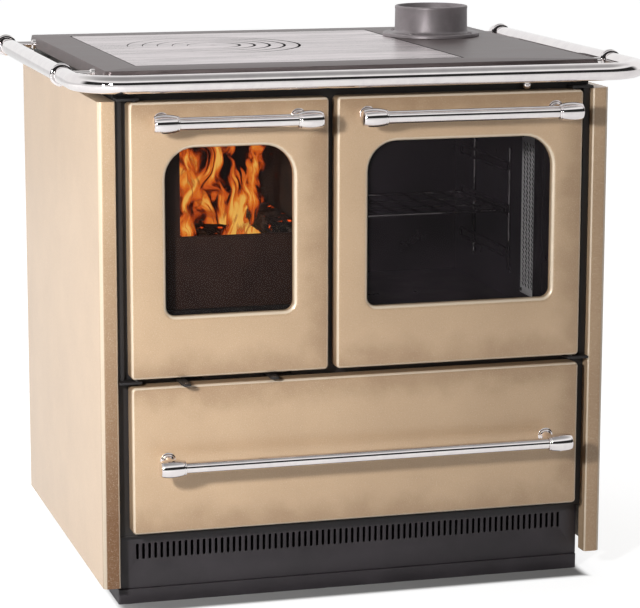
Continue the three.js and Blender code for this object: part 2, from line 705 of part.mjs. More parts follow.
function makeBody() {
  const y0 = BEHIND_FRAME_Y;
  const y1 = BODY_BACK_Y;
  const x = BODY_OUTER_X;
  const plates = [
    block(-x, x, y0, y1, BODY_FLOOR_Z, BODY_FLOOR_TOP_Z),
    block(-x, -BODY_INNER_X, y0, y1, BODY_FLOOR_Z, FRAME_TOP_Z),
    block(BODY_INNER_X, x, y0, y1, BODY_FLOOR_Z, FRAME_TOP_Z),
    block(-x, x, y1 - BODY_PLATE, y1, FLOOR_TOP_Z + SEAT, FRAME_TOP_Z),
    block(PARTITION_X, PARTITION_X + BODY_PLATE, y0, y1, BODY_FLOOR_Z, OVEN_TOP_Z),
    block(-x, PARTITION_X + PAST, y0, y1, LEDGE_Z, LEDGE_TOP_Z),
  ];
  const ledgeOpening = block(
    FIREBOX.left + LEDGE_LAP,
    FIREBOX.right - LEDGE_LAP,
    y0 + LEDGE_FRONT,
    LINING_BACK_Y - LEDGE_LAP,
    LEDGE_Z - PAST,
    LEDGE_TOP_Z + PAST,
  );
  const front = y0 + INLET_SETBACK;
  const back = front + INLET_DEPTH;
  const inlets = INLET_SHARES.map((share) => {
    const left = FIREBOX.left + (FIREBOX.right - FIREBOX.left) * share - INLET_WIDTH / 2;
    return block(left, left + INLET_WIDTH, front, back, BODY_FLOOR_Z - PAST, BODY_FLOOR_TOP_Z + PAST);
  });
  add("stove_body", cut(join(plates), ledgeOpening, inlets), BLACK_STEEL);
}

function makeLinings() {
  const back = BODY_BACK_Y - BODY_PLATE - SEAT;
  const top = TOP_UNDER_Z - LINING_TOP_DROP;
  const boards = [
    ["left", -BODY_INNER_X + SEAT, FIREBOX.left, LINING_FRONT_Y, top],
    ["right", FIREBOX.right, PARTITION_X - SEAT, LINING_FRONT_Y, OVEN_TOP_Z - RIGHT_LINING_DROP],
    ["back", FIREBOX.left + SEAT, FIREBOX.right - SEAT, LINING_BACK_Y, top],
  ];
  for (const [place, left, right, front, boardTop] of boards) {
    const board = block(left, right, front, back, LINING_BOTTOM_Z, boardTop);
    add(`firebox_lining_${place}`, board, REFRACTORY);
  }
}

// A cast plate with rows of long slots, lying on the ledge.
function makeGrate() {
  const left = FIREBOX.left + SEAT;
  const right = FIREBOX.right - SEAT;
  const front = LINING_FRONT_Y + GRATE_FRONT_GAP;
  const back = LINING_BACK_Y - SEAT;
  const top = LINING_BOTTOM_Z + GRATE_THICK;
  const pitch = (right - left - 2 * GRATE_BORDER) / GRATE_SLOTS;
  const rowLength = (back - front - 2 * GRATE_BORDER) / GRATE_ROWS;
  const halfSlot = (pitch * GRATE_SLOT_SHARE) / 2;
  const slots = [];
  for (const row of range(GRATE_ROWS)) {
    const y0 = front + GRATE_BORDER + row * rowLength + GRATE_CROSSBAR / 2;
    const y1 = y0 + rowLength - GRATE_CROSSBAR;
    for (const i of range(GRATE_SLOTS)) {
      const x = left + GRATE_BORDER + (i + 0.5) * pitch;
      slots.push(block(x - halfSlot, x + halfSlot, y0, y1, LINING_BOTTOM_Z - PAST, top + PAST));
    }
  }
  add("fire_grate", cut(block(left, right, front, back, LINING_BOTTOM_Z, top), slots), CAST_IRON);
}

// The cast plate that keeps the logs off the glass, with an upright on the door's hinge side.
function makeLogGuard() {
  const { left, right } = FIRE_OPENING;
  const bottom = LINING_BOTTOM_Z;
  const back = LINING_FRONT_Y - SEAT;
  const front = back - GUARD_THICK;
  const top = FIRE_OPENING.top - GUARD_TOP_GAP;
  const plate = block(left, right, front, back, bottom, bottom + GUARD_HEIGHT);
  const upright = block(left, left + GUARD_UPRIGHT_WIDTH, front, back, bottom, top);
  add("log_guard", join(plate, upright), CAST_IRON);
}

// An open tray with a lip to pull it by, on the body's floor.
function makeAshPan() {
  const left = FIREBOX.left + PAN_SIDE_INSET;
  const right = FIREBOX.right - PAN_SIDE_INSET;
  const front = BEHIND_FRAME_Y + PAN_FRONT_INSET;
  const back = LINING_BACK_Y - PAN_BACK_INSET;
  const bottom = BODY_FLOOR_TOP_Z + SEAT;
  const top = bottom + PAN_HEIGHT;
  const t = PAN_WALL;
  const tray = cut(
    block(left, right, front, back, bottom, top),
    block(left + t, right - t, front + t, back - t, bottom + t, top + PAST),
  );
  const lipFront = front - PAN_LIP_REACH;
  const lip = block(left + PAN_LIP_INSET, right - PAN_LIP_INSET, lipFront, front + t / 2, top - t, top);
  add("ash_pan", join(tray, lip), BLACK_STEEL);
}

function makeOven() {
  const w = OVEN_WALL;
  const y0 = BEHIND_FRAME_Y;
  const shell = cut(
    block(OVEN.left - w, OVEN.right + w, y0, OVEN.back + w, OVEN.bottom - w, OVEN.top + w),
    block(OVEN.left, OVEN.right, y0 - PAST, OVEN.back, OVEN.bottom, OVEN.top),
  );
  const footBack = OVEN.back - OVEN_FOOT;
  const feet = [OVEN.left + OVEN_FOOT, OVEN.right - 2 * OVEN_FOOT].map((x) =>
    block(x, x + OVEN_FOOT, footBack - OVEN_FOOT, footBack, BODY_FLOOR_TOP_Z + SEAT, OVEN.bottom - w / 2),
  );
  add("oven_box", join(shell, feet), OVEN_ENAMEL);
}

function rackLevelZ(level) {
  return OVEN.bottom + RACK_LOWEST + level * RACK_LEVEL_PITCH;
}

// A ladder of wires on one side wall: posts on studs, and a pair of runners with stops at each level.
function makeRack(name, wall, inward) {
  const postX = wall + inward * (SEAT + RACK_STANDOFF + RACK_POST);
  const wireX = postX + inward * (RACK_POST + RACK_WIRE - WIRE_MERGE);
  const bottom = rackLevelZ(0) - RACK_OVERHANG;
  const top = rackLevelZ(RACK_LEVELS - 1) + RACK_PAIR_GAP + RACK_OVERHANG;
  const pieces = [];
  for (const y of [RACK_FRONT_Y + RACK_POST_FRONT, RACK_REAR_Y - RACK_POST_REAR]) {
    pieces.push(rodZ(postX, y, bottom, top, RACK_POST));
    for (const z of [bottom + RACK_STUD_INSET, top - RACK_STUD_INSET]) {
      pieces.push(rodX(wall + inward * SEAT, postX, y, z, RACK_STUD));
    }
  }
  for (const level of range(RACK_LEVELS)) {
    const z = rackLevelZ(level);
    pieces.push(rodY(wireX, RACK_FRONT_Y, RACK_REAR_Y, z, RACK_WIRE));
    pieces.push(rodY(wireX, RACK_FRONT_Y, RACK_REAR_Y, z + RACK_PAIR_GAP, RACK_WIRE));
    for (const y of [RACK_FRONT_Y + RACK_WIRE, RACK_REAR_Y - RACK_WIRE]) {
      pieces.push(rodZ(wireX, y, z, z + RACK_PAIR_GAP, RACK_WIRE));
    }
  }
  add(name, join(pieces), WIRE);
}

// A wire shelf that lies on the lower runners of one level.
function makeShelf() {
  const inset = SEAT + RACK_STANDOFF + 2 * RACK_POST + SHELF_FRAME + SHELF_SIDE_PLAY;
  const left = OVEN.left + inset;
  const right = OVEN.right - inset;
  const front = RACK_FRONT_Y + 3 * RACK_WIRE + SHELF_FRAME;
  const back = RACK_REAR_Y - 3 * RACK_WIRE - SHELF_FRAME;
  const level = Math.min(SHELF_LEVEL, RACK_LEVELS - 1);
  const z = rackLevelZ(level) + RACK_WIRE + SEAT + SHELF_FRAME;
  const pieces = [
    rodY(left, front, back, z, SHELF_FRAME),
    rodY(right, front, back, z, SHELF_FRAME),
    rodX(left - SHELF_FRAME, right + SHELF_FRAME, front, z, SHELF_FRAME),
    rodX(left - SHELF_FRAME, right + SHELF_FRAME, back, z, SHELF_FRAME),
  ];
  for (const i of range(SHELF_WIRES)) {
    const x = left + ((right - left) * (i + 1)) / (SHELF_WIRES + 1);
    pieces.push(rodY(x, front, back, z, SHELF_WIRE));
  }
  add("oven_shelf", join(pieces), WIRE);
}

// A slotted strip on the oven's right wall, near the door.
function makeVentStrip() {
  const x1 = OVEN.right - SEAT;
  const x0 = x1 - STRIP_THICK;
  const front = BEHIND_FRAME_Y + STRIP_FRONT_GAP;
  const bottom = OVEN.bottom + STRIP_LOW_GAP;
  const top = OVEN.top - STRIP_HIGH_GAP;
  const plate = block(x0, x1, front, front + STRIP_WIDTH, bottom, top);
  const pitch = (top - bottom - 2 * STRIP_BORDER) / STRIP_ROWS;
  const frontColumn = front + STRIP_BLANK;
  const rearColumn = front + STRIP_WIDTH - STRIP_BORDER - STRIP_SLOT_LENGTH;
  const slots = [];
  for (const row of range(STRIP_ROWS)) {
    const z = bottom + STRIP_BORDER + (row + 0.5) * pitch - STRIP_SLOT_HEIGHT / 2;
    for (const y of [frontColumn, rearColumn]) {
      slots.push(block(x0 - PAST, x1 + PAST, y, y + STRIP_SLOT_LENGTH, z, z + STRIP_SLOT_HEIGHT));
    }
  }
  add("oven_vent_strip", cut(plate, slots), OVEN_ENAMEL);
}

// ---------------------------------------------------------------- cast top, hob rings and flue

// The cast frame's outer body, whose edge leans out towards its foot, grown on all sides by a margin.
// It runs on past the frame's underside.
function topEnvelope(margin) {
  const reach = TOP_FLARE + margin;
  const outline = roundedRect(
    TOP.left - reach,
    TOP.right + reach,
    TOP.front - reach,
    TOP.back + reach,
    TOP_CORNER_RADIUS + reach,
  );
  return pullZ(outline, TOP_UNDER_Z - TOP_FLARE_HEIGHT, HOB_TOP_Z, {
    bevelEnabled: true,
    bevelThickness: TOP_FLARE_HEIGHT,
    bevelSize: TOP_FLARE,
    bevelOffset: -TOP_FLARE,
    bevelSegments: 1,
  });
}

function makeTopFrame() {
  const below = block(
    TOP.left - RAIL_SIDE_OFFSET,
    TOP.right + RAIL_SIDE_OFFSET,
    TOP.front - RAIL_SIDE_OFFSET,
    TOP.back + RAIL_SIDE_OFFSET,
    TOP_UNDER_Z - 2 * TOP_FLARE_HEIGHT,
    TOP_UNDER_Z,
  );
  const gap = HOB_CLEARANCE;
  const ledge = HOB_LEDGE;
  const seat = roundedRect(
    HOB.left - gap,
    HOB.right + gap,
    HOB.front - gap,
    HOB.back + gap,
    REBATE_CORNER_RADIUS,
  );
  const rebate = pullZ(seat, HOB_UNDER_Z - SEAT, HOB_TOP_Z + PAST);
  const through = block(
    HOB.left + ledge,
    HOB.right - ledge,
    HOB.front + ledge,
    HOB.back - ledge,
    TOP_UNDER_Z - PAST,
    HOB_TOP_Z,
  );
  const flueHole = rodZ(FLUE_X, FLUE_Y, TOP_UNDER_Z - PAST, HOB_TOP_Z + PAST, FLUE_BORE, FLUE_SIDES);
  add("top_frame", cut(topEnvelope(0), below, rebate, through, flueHole), CAST_IRON);
}

// The plate, the rings and the disc hang in one another: each has a step that takes the next one in.
function makeHob() {
  const outline = roundedRect(HOB.left, HOB.right, HOB.front, HOB.back, HOB_CORNER_RADIUS);
  const plate = pullZ(outline, HOB_UNDER_Z, HOB_TOP_Z);
  const innerRadius = RING_OUTER_RADIUS - RING_LAP;
  const wide = rodZ(RING_X, RING_Y, STEP_Z, HOB_TOP_Z + PAST, RING_OUTER_RADIUS, RING_SIDES);
  const narrow = rodZ(RING_X, RING_Y, HOB_UNDER_Z - PAST, STEP_Z + PAST, innerRadius, RING_SIDES);
  add("hob_plate", cut(plate, wide, narrow), BRUSHED_HOB);

  for (const i of range(RING_COUNT)) {
    const outer = RING_OUTER_RADIUS - i * RING_STEP - RING_GAP;
    const inner = RING_OUTER_RADIUS - (i + 1) * RING_STEP;
    const profile = [
      [inner, HOB_TOP_Z],
      [inner, STEP_Z],
      [inner - RING_LAP, STEP_Z],
      [inner - RING_LAP, HOB_UNDER_Z],
      [outer - RING_LAP, HOB_UNDER_Z],
      [outer - RING_LAP, STEP_Z + SEAT],
      [outer, STEP_Z + SEAT],
      [outer, HOB_TOP_Z],
      [inner, HOB_TOP_Z],
    ];
    add(`hob_ring_${i + 1}`, turned(profile, RING_X, RING_Y, RING_SIDES), BRUSHED_HOB);
  }

  const discRadius = RING_OUTER_RADIUS - RING_COUNT * RING_STEP - RING_GAP;
  const disc = [
    [0, HOB_UNDER_Z],
    [discRadius - RING_LAP, HOB_UNDER_Z],
    [discRadius - RING_LAP, STEP_Z + SEAT],
    [discRadius, STEP_Z + SEAT],
    [discRadius, HOB_TOP_Z],
    [HOOK_HOLE_RADIUS, HOB_TOP_Z],
    [HOOK_HOLE_RADIUS, HOB_TOP_Z - HOOK_HOLE_DEPTH],
    [0, HOB_TOP_Z - HOOK_HOLE_DEPTH],
  ];
  add("hob_disc", turned(disc, RING_X, RING_Y, RING_SIDES), BRUSHED_HOB);
}

function makeFlue() {
  const base = HOB_TOP_Z + SEAT;
  const flangeTop = base + FLANGE_THICK;
  const rim = HOB_TOP_Z + FLUE_HEIGHT;
  const profile = [
    [FLUE_BORE, base],
    [FLANGE_RADIUS, base],
    [FLANGE_RADIUS, flangeTop - FLANGE_CHAMFER],
    [FLANGE_RADIUS - FLANGE_CHAMFER, flangeTop],
    [FLUE_RADIUS + FLUE_FILLET, flangeTop],
    [FLUE_RADIUS, flangeTop + FLUE_FILLET],
    [FLUE_RADIUS, rim - FLUE_LIP],
    [FLUE_RADIUS - FLUE_LIP, rim],
    [FLUE_BORE, rim],
    [FLUE_BORE, base],
  ];
  add("flue_collar", turned(profile, FLUE_X, FLUE_Y, FLUE_SIDES), FLUE_IRON);
}

// ---------------------------------------------------------------- rail

// A quarter circle from the front run to a side run, in the rail's plane.
class RailBend extends THREE.Curve {
  constructor(side) {
    super();
    this.side = side;
  }

  getPoint(t, target = new THREE.Vector3()) {
    const angle = (Math.PI / 2) * t;
    const x = RAIL_X - RAIL_BEND + RAIL_BEND * Math.cos(angle);
    return target.set(this.side * x, RAIL_Y + RAIL_BEND * (1 - Math.sin(angle)), RAIL_Z);
  }
}

function railTube(extrudePath, steps) {
  const section = new THREE.Shape();
  section.absarc(0, 0, RAIL_RADIUS, 0, 2 * Math.PI);
  const curveSegments = RAIL_SIDES / 2;
  return solid(new THREE.ExtrudeGeometry(section, { extrudePath, steps, curveSegments }));
}

function railRun(from, to) {
  return railTube(new THREE.LineCurve3(new THREE.Vector3(...from), new THREE.Vector3(...to)), 1);
}

function makeRail() {
  const weld = 0.02; // the runs sink this far into the bends, so that they join
  const reach = RAIL_X - RAIL_BEND + weld;
  const pieces = [railRun([-reach, RAIL_Y, RAIL_Z], [reach, RAIL_Y, RAIL_Z])];
  const cap = [
    [0, -PAST],
    [RAIL_RADIUS, -PAST],
    [RAIL_RADIUS, RAIL_CAP_LENGTH - RAIL_CAP_ROUND],
    [RAIL_RADIUS - RAIL_CAP_ROUND, RAIL_CAP_LENGTH],
    [0, RAIL_CAP_LENGTH],
  ];
  for (const side of [-1, 1]) {
    const x = side * RAIL_X;
    pieces.push(railTube(new RailBend(side), RAIL_BEND_STEPS));
    pieces.push(railRun([x, RAIL_Y + RAIL_BEND - weld, RAIL_Z], [x, RAIL_REAR_Y, RAIL_Z]));
    pieces.push(solid(lathe(cap, RAIL_SIDES).translate(x, RAIL_REAR_Y, RAIL_Z)));
  }
  add("hand_rail", join(pieces), CHROME);
}

// A collar on the rail and an arm into the cast frame's edge.
function makeRailBracket(name, side, y) {
  const x = side * RAIL_X;
  const half = COLLAR_WIDTH / 2;
  const bore = RAIL_RADIUS + SEAT;
  const radius = RAIL_RADIUS + COLLAR_WALL;
  const profile = [
    [bore, -half],
    [radius - COLLAR_CHAMFER, -half],
    [radius, -half + COLLAR_CHAMFER],
    [radius, half - COLLAR_CHAMFER],
    [radius - COLLAR_CHAMFER, half],
    [bore, half],
    [bore, -half],
  ];
  const collar = turnedAlongY(profile, x, y, RAIL_Z, RAIL_SIDES);
  const inside = side * (TOP.right - TOP_FLARE);
  const collarWall = x - side * (bore + COLLAR_WALL / 2);
  const footEnd = side * (TOP.right + TOP_FLARE + ARM_FOOT_LENGTH);
  const arm = rodX(inside, collarWall, y, RAIL_Z, ARM_RADIUS, ARM_SIDES);
  const foot = rodX(inside, footEnd, y, RAIL_Z, ARM_FOOT_RADIUS, ARM_FOOT_SIDES);
  add(`rail_bracket_${name}`, join(collar, cut(join(arm, foot), topEnvelope(SEAT))), CHROME);
}

// ---------------------------------------------------------------- controls

// The smoke bypass: a rod through the front frame with a plate over the oven and a knob outside.
function makeBypass() {
  const knobY = FRAME_FRONT_Y - BYPASS_KNOB_STANDOFF;
  const plate = block(
    BYPASS_X - BYPASS_PLATE_LEFT,
    BYPASS_X + BYPASS_PLATE_RIGHT,
    BYPASS_PLATE_Y,
    BYPASS_PLATE_Y + STEEL,
    OVEN_TOP_Z + SEAT,
    FRAME_TOP_Z - BYPASS_PLATE_DROP,
  );
  const shaftEnd = BYPASS_PLATE_Y + STEEL / 2;
  const shaft = rodY(BYPASS_X, knobY, shaftEnd, BYPASS_Z, BYPASS_ROD_RADIUS, BYPASS_ROD_SIDES);
  add("bypass_damper", join(shaft, plate), BLACK_STEEL);

  const r = BYPASS_KNOB_RADIUS;
  const bore = BYPASS_ROD_RADIUS + SEAT;
  const neck = -r - BYPASS_KNOB_NECK;
  const waist = Math.acos((bore + BYPASS_KNOB_NECK) / r);
  const ball = arcPoints(0, 0, r, -waist, Math.PI / 2, 5);
  ball[ball.length - 1] = [0, r];
  const profile = [
    [bore, neck],
    [bore + BYPASS_KNOB_NECK, neck],
    ...ball,
    [0, SEAT],
    [bore, SEAT],
    [bore, neck],
  ];
  add("bypass_knob", turnedAlongY(profile, BYPASS_X, knobY, BYPASS_Z, BYPASS_ROD_SIDES), CHROME);
}

function leverX(lever) {
  return FIRE_DOOR.left + lever.fromLeft + LEVER_WIDTH / 2;
}

// An air register: a plate behind the front frame with a tab through the frame's slot.
function makeAirSlide(name, lever) {
  const x = leverX(lever);
  const half = LEVER_WIDTH / 2;
  const tip = DOOR_FRONT_Y - lever.reach;
  const tab = roundedRect(x - half, x + half, tip, BEHIND_FRAME_Y + PAST, LEVER_TIP_RADIUS, SEAT);
  const middle = LEVER_Z + LEVER_THICK / 2;
  const register = block(
    x - half - REGISTER_OVERHANG,
    x + half + REGISTER_OVERHANG,
    BEHIND_FRAME_Y,
    BEHIND_FRAME_Y + STEEL,
    middle - REGISTER_HEIGHT / 2,
    middle + REGISTER_HEIGHT / 2,
  );
  add(name, join(pullZ(tab, LEVER_Z, LEVER_Z + LEVER_THICK), register), BLACK_STEEL);
}

// ---------------------------------------------------------------- doors

// A pressed panel with a rounded front edge, between two x and two z.
function pressedPanel(left, right, bottom, top) {
  return pullY(roundedRect(left, right, bottom, top, DOOR_CORNER_RADIUS), DOOR_FRONT_Y, DOOR_BACK_Y, {
    bevelEnabled: true,
    bevelThickness: DOOR_EDGE_DEPTH,
    bevelSize: DOOR_EDGE_ROUND,
    bevelOffset: -DOOR_EDGE_ROUND,
    bevelSegments: 2,
    curveSegments: 2,
  });
}

// The window's outline in a door, moved out by grow.
function windowOutline(door, margin, grow) {
  return roundedRect(
    door.left + margin - grow,
    door.right - margin + grow,
    DOOR_BOTTOM_Z + WINDOW_BOTTOM_MARGIN - grow,
    DOOR_TOP_Z - WINDOW_TOP_MARGIN + grow,
    WINDOW_BOTTOM_RADIUS + grow,
    WINDOW_TOP_RADIUS + grow,
  );
}

// A rounded outline inside a door's edges; inset is counted from the rope's middle line, inwards.
function ropeOutline(door, inset) {
  const margin = GASKET_MARGIN + inset;
  const bottom = DOOR_BOTTOM_Z + margin;
  const top = DOOR_TOP_Z - margin;
  return roundedRect(door.left + margin, door.right - margin, bottom, top, GASKET_DIAMETER - inset);
}

function hingeX(door, side) {
  return side < 0 ? door.left + HINGE_EDGE : door.right - HINGE_EDGE;
}

function makeDoorPanel(name, door, margin, hingeSide) {
  const coarse = { curveSegments: 2 };
  const through = pullY(windowOutline(door, margin, 0), DOOR_FRONT_Y - PAST, DOOR_BACK_Y + PAST);
  const flareFront = DOOR_FRONT_Y - WINDOW_FLARE_DEPTH - DOOR_THICK;
  const flare = pullY(windowOutline(door, margin, 0), flareFront, DOOR_FRONT_Y + WINDOW_FLARE_DEPTH, {
    bevelEnabled: true,
    bevelThickness: WINDOW_FLARE_DEPTH,
    bevelSize: WINDOW_FLARE,
    bevelSegments: 1,
  });
  const pocketOutline = windowOutline(door, margin, GLASS_LAP + GLASS_PLAY);
  const pocket = pullY(pocketOutline, DOOR_BACK_Y - POCKET_DEPTH, DOOR_BACK_Y + PAST, coarse);
  const grooveHalf = GASKET_DIAMETER / 2 + GROOVE_PLAY;
  const grooveFloor = FRAME_FRONT_Y - GASKET_DIAMETER - 2 * SEAT;
  const groove = cut(
    pullY(ropeOutline(door, -grooveHalf), grooveFloor, DOOR_BACK_Y + PAST, coarse),
    pullY(ropeOutline(door, grooveHalf), grooveFloor - PAST, DOOR_BACK_Y + 2 * PAST, coarse),
  );
  const x = hingeX(door, hingeSide);
  const y = DOOR_FRONT_Y + HINGE_DEPTH;
  const boreDepth = PIN_LENGTH + PIN_BORE_SPARE;
  const boreRadius = PIN_RADIUS + SEAT;
  const bores = [
    rodZ(x, y, DOOR_BOTTOM_Z - PAST, DOOR_BOTTOM_Z + boreDepth, boreRadius, PIN_SIDES),
    rodZ(x, y, DOOR_TOP_Z - boreDepth, DOOR_TOP_Z + PAST, boreRadius, PIN_SIDES),
  ];
  const panel = pressedPanel(door.left, door.right, DOOR_BOTTOM_Z, DOOR_TOP_Z);
  add(name, cut(panel, through, flare, pocket, groove, bores), ENAMEL);
}

// The glass lies in the panel's pocket, and a black frame behind it holds it there.
function makeGlazing(prefix, door, margin) {
  const coarse = { curveSegments: 2 };
  const glassFront = DOOR_BACK_Y - POCKET_DEPTH + SEAT;
  const glassBack = glassFront + GLASS_THICK;
  const pane = windowOutline(door, margin, GLASS_LAP);
  add(`${prefix}_glass`, pullY(pane, glassFront, glassBack, coarse), GLASS);
  const opening = windowOutline(door, margin, INNER_FRAME_SETBACK);
  const frame = cut(
    pullY(pane, glassBack + SEAT, DOOR_BACK_Y - SEAT, coarse),
    pullY(opening, glassBack, DOOR_BACK_Y + PAST),
  );
  add(`${prefix}_inner_frame`, frame, BLACK_STEEL);
}

// The rope gasket: a ring whose outer and inner sides are both rounded.
function makeGasket(name, door) {
  const half = GASKET_DIAMETER / 2;
  const back = FRAME_FRONT_Y - SEAT;
  const front = back - GASKET_DIAMETER;
  const soft = half * GASKET_SOFTNESS;
  const inner = ropeOutline(door, half);
  const rounding = {
    bevelEnabled: true,
    bevelThickness: soft,
    bevelSize: soft,
    bevelSegments: 1,
    curveSegments: 2,
  };
  const outerSide = pullY(ropeOutline(door, -half), front, back, { ...rounding, bevelOffset: -soft });
  const innerSide = join(
    pullY(inner, front - PAST, back + PAST, { curveSegments: 2 }),
    pullY(inner, back - soft, back + 3 * soft, rounding),
    pullY(inner, front - 3 * soft, front + soft, rounding),
  );
  add(name, cut(outerSide, innerSide), ROPE);
}

// A strip behind the gap beside the door, with an ear and a pin above and below.
function makeHinge(name, door, side) {
  const x = hingeX(door, side);
  const y = DOOR_FRONT_Y + HINGE_DEPTH;
  const back = FRAME_FRONT_Y - SEAT;
  const outer = side * (HALF_FRAME - HINGE_COLUMN_GAP);
  const inner = outer - side * HINGE_BAR_WIDTH;
  const earTip = x - side * HINGE_EAR_LAP;
  const earFront = y - HINGE_EAR_LAP;
  const lowTop = DOOR_BOTTOM_Z - HINGE_EAR_GAP_LOW;
  const lowBottom = lowTop - HINGE_EAR;
  const highBottom = DOOR_TOP_Z + HINGE_EAR_GAP_HIGH;
  const highTop = highBottom + HINGE_EAR;
  const strip = join(
    block(outer, inner, back - HINGE_BAR_THICK, back, lowBottom, highTop),
    block(outer, earTip, earFront, back, lowBottom, lowTop),
    block(outer, earTip, earFront, back, highBottom, highTop),
    rodZ(x, y, lowTop - HINGE_EAR / 2, DOOR_BOTTOM_Z + PIN_LENGTH, PIN_RADIUS, PIN_SIDES),
    rodZ(x, y, DOOR_TOP_Z - PIN_LENGTH, highBottom + HINGE_EAR / 2, PIN_RADIUS, PIN_SIDES),
  );
  add(name, strip, BLACK_STEEL);
}

function makeDoor(prefix, door, margin, hingeSide) {
  makeDoorPanel(prefix, door, margin, hingeSide);
  makeGlazing(prefix, door, margin);
  makeGasket(`${prefix}_gasket`, door);
  makeHinge(`${prefix}_hinge`, door, hingeSide);
}

// ---------------------------------------------------------------- drawer

function makeDrawer() {
  // the back of the pressed front is hollow beside the box
  const hollowInner = DRAWER_BOX_HALF + FRONT_HOLLOW_BOX_GAP;
  const hollowOuter = HALF_FIELD - FRONT_HOLLOW_RIM;
  const hollowFront = DOOR_BACK_Y - FRONT_HOLLOW_DEPTH;
  const hollowLow = DRAWER_BOTTOM_Z + FRONT_HOLLOW_RIM;
  const hollowHigh = DRAWER_TOP_Z - FRONT_HOLLOW_RIM;
  const hollows = [-1, 1].map((side) =>
    block(side * hollowInner, side * hollowOuter, hollowFront, DOOR_BACK_Y + PAST, hollowLow, hollowHigh),
  );
  const front = pressedPanel(-HALF_FIELD, HALF_FIELD, DRAWER_BOTTOM_Z, DRAWER_TOP_Z);
  add("drawer_front", cut(front, hollows), ENAMEL);

  const t = DRAWER_SHEET;
  const half = DRAWER_BOX_HALF;
  const y0 = DOOR_BACK_Y + SEAT;
  const y1 = DRAWER_BACK_Y;
  const z0 = DRAWER_BOTTOM_Z + DRAWER_FLOOR_RISE;
  const z1 = DRAWER_TOP_Z - DRAWER_BOX_DROP;
  const tray = cut(
    block(-half, half, y0, y1, z0, z1),
    block(-half + t, half - t, y0 + t, y1 - t, z0 + t, z1 + PAST),
  );
  const lipFront = BEHIND_FRAME_Y + DRAWER_LIP_FRONT_GAP;
  const lipBack = y1 - DRAWER_LIP_REAR_GAP;
  const lipTop = DRAWER_LIP_Z + DRAWER_LIP_THICK;
  const lips = [-1, 1].map((side) =>
    block(side * (half - t / 2), side * (half + DRAWER_LIP), lipFront, lipBack, DRAWER_LIP_Z, lipTop),
  );
  add("drawer_box", join(tray, lips), BLACK_STEEL);
}

// A folded sheet runner: a channel that takes the drawer's side lip, and a wall that stands on a foot.
function makeRunner(name, side) {
  const s = RUNNER_SHEET;
  const low = DRAWER_LIP_Z - SEAT;
  const high = DRAWER_LIP_Z + DRAWER_LIP_THICK + SEAT;
  const mouth = DRAWER_BOX_HALF + DRAWER_RUNNING_GAP;
  const web = DRAWER_BOX_HALF + DRAWER_LIP + RUNNER_SIDE_GAP;
  const foot = FLOOR_TOP_Z + SEAT;
  const section = [
    [mouth, high],
    [web, high],
    [web, low],
    [mouth, low],
    [mouth, low - s],
    [web, low - s],
    [web, foot],
    [web + RUNNER_FOOT, foot],
    [web + RUNNER_FOOT, foot + s],
    [web + s, foot + s],
    [web + s, high + s],
    [mouth, high + s],
  ];
  const outline = polygon(section.map(([x, z]) => [side * x, z]));
  add(name, pullY(outline, BEHIND_FRAME_Y + RUNNER_FRONT_GAP, DRAWER_BACK_Y + RUNNER_SIDE_GAP), BLACK_STEEL);
}

// ---------------------------------------------------------------- handles

// The barrel swells from its tip to its widest place and draws in again to its mouth.
function barrelRadius(fromTip) {
  const beforeWidest = fromTip < BARREL_WIDEST;
  const endRadius = beforeWidest ? BARREL_TIP_RADIUS : BARREL_MOUTH_RADIUS;
  const reach = beforeWidest ? BARREL_WIDEST : BARREL_LENGTH - BARREL_WIDEST;
  return BARREL_RADIUS - (BARREL_RADIUS - endRadius) * ((fromTip - BARREL_WIDEST) / reach) ** 2;
}

// One end fitting: a turned barrel that takes the bar, a post and a round base on the panel.
function handleEnd(tipX, z, direction, barRadius) {
  const socket = BARREL_LENGTH - SOCKET_DEPTH;
  const bore = barRadius + SEAT;
  const outside = range(BARREL_STEPS + 1).map((i) => {
    const fromTip = (BARREL_LENGTH * i) / BARREL_STEPS;
    return [barrelRadius(fromTip), fromTip];
  });
  const profile = [[0, 0], ...outside, [bore, BARREL_LENGTH], [bore, socket], [0, socket]];
  const postX = tipX + direction * POST_FROM_TIP;
  const face = DOOR_FRONT_Y - SEAT;
  return join(
    turnedAlongX(profile, tipX, HANDLE_Y, z, direction, HANDLE_SIDES),
    rodY(postX, HANDLE_Y + BARREL_RADIUS - POST_SINK, face, z, POST_RADIUS, HANDLE_SIDES),
    rodY(postX, face - POST_BASE_HEIGHT, face, z, POST_BASE_RADIUS, HANDLE_SIDES),
  );
}

// A handle between two tips: a bar whose ends sit in the sockets of two end fittings.
function makeHandle(prefix, left, right, z, barRadius) {
  const inset = BARREL_LENGTH - SOCKET_DEPTH + SEAT;
  add(`${prefix}_bar`, rodX(left + inset, right - inset, HANDLE_Y, z, barRadius, HANDLE_SIDES), CHROME);
  add(`${prefix}_end_left`, handleEnd(left, z, 1, barRadius), CHROME);
  add(`${prefix}_end_right`, handleEnd(right, z, -1, barRadius), CHROME);
}

function makeDoorHandle(prefix, door, margin) {
  makeHandle(prefix, door.left + margin, door.right - margin, DOOR_HANDLE_Z, DOOR_HANDLE_RADIUS);
}

// ---------------------------------------------------------------- assembly

makeBase();
makeSidePanel("side_panel_left", -1);
makeSidePanel("side_panel_right", 1);
makeBackPanel();
makeFrontFrame();

makeBody();
makeLinings();
makeGrate();
makeLogGuard();
makeAshPan();
makeOven();
makeRack("oven_rack_left", OVEN.left, 1);
makeRack("oven_rack_right", OVEN.right, -1);
makeShelf();
makeVentStrip();

makeTopFrame();
makeHob();
makeFlue();
makeRail();
for (const [side, place] of [[-1, "left"], [1, "right"]]) {
  makeRailBracket(`front_${place}`, side, TOP.front + COLLAR_FROM_FRONT);
  makeRailBracket(`rear_${place}`, side, TOP.back - COLLAR_FROM_BACK);
}

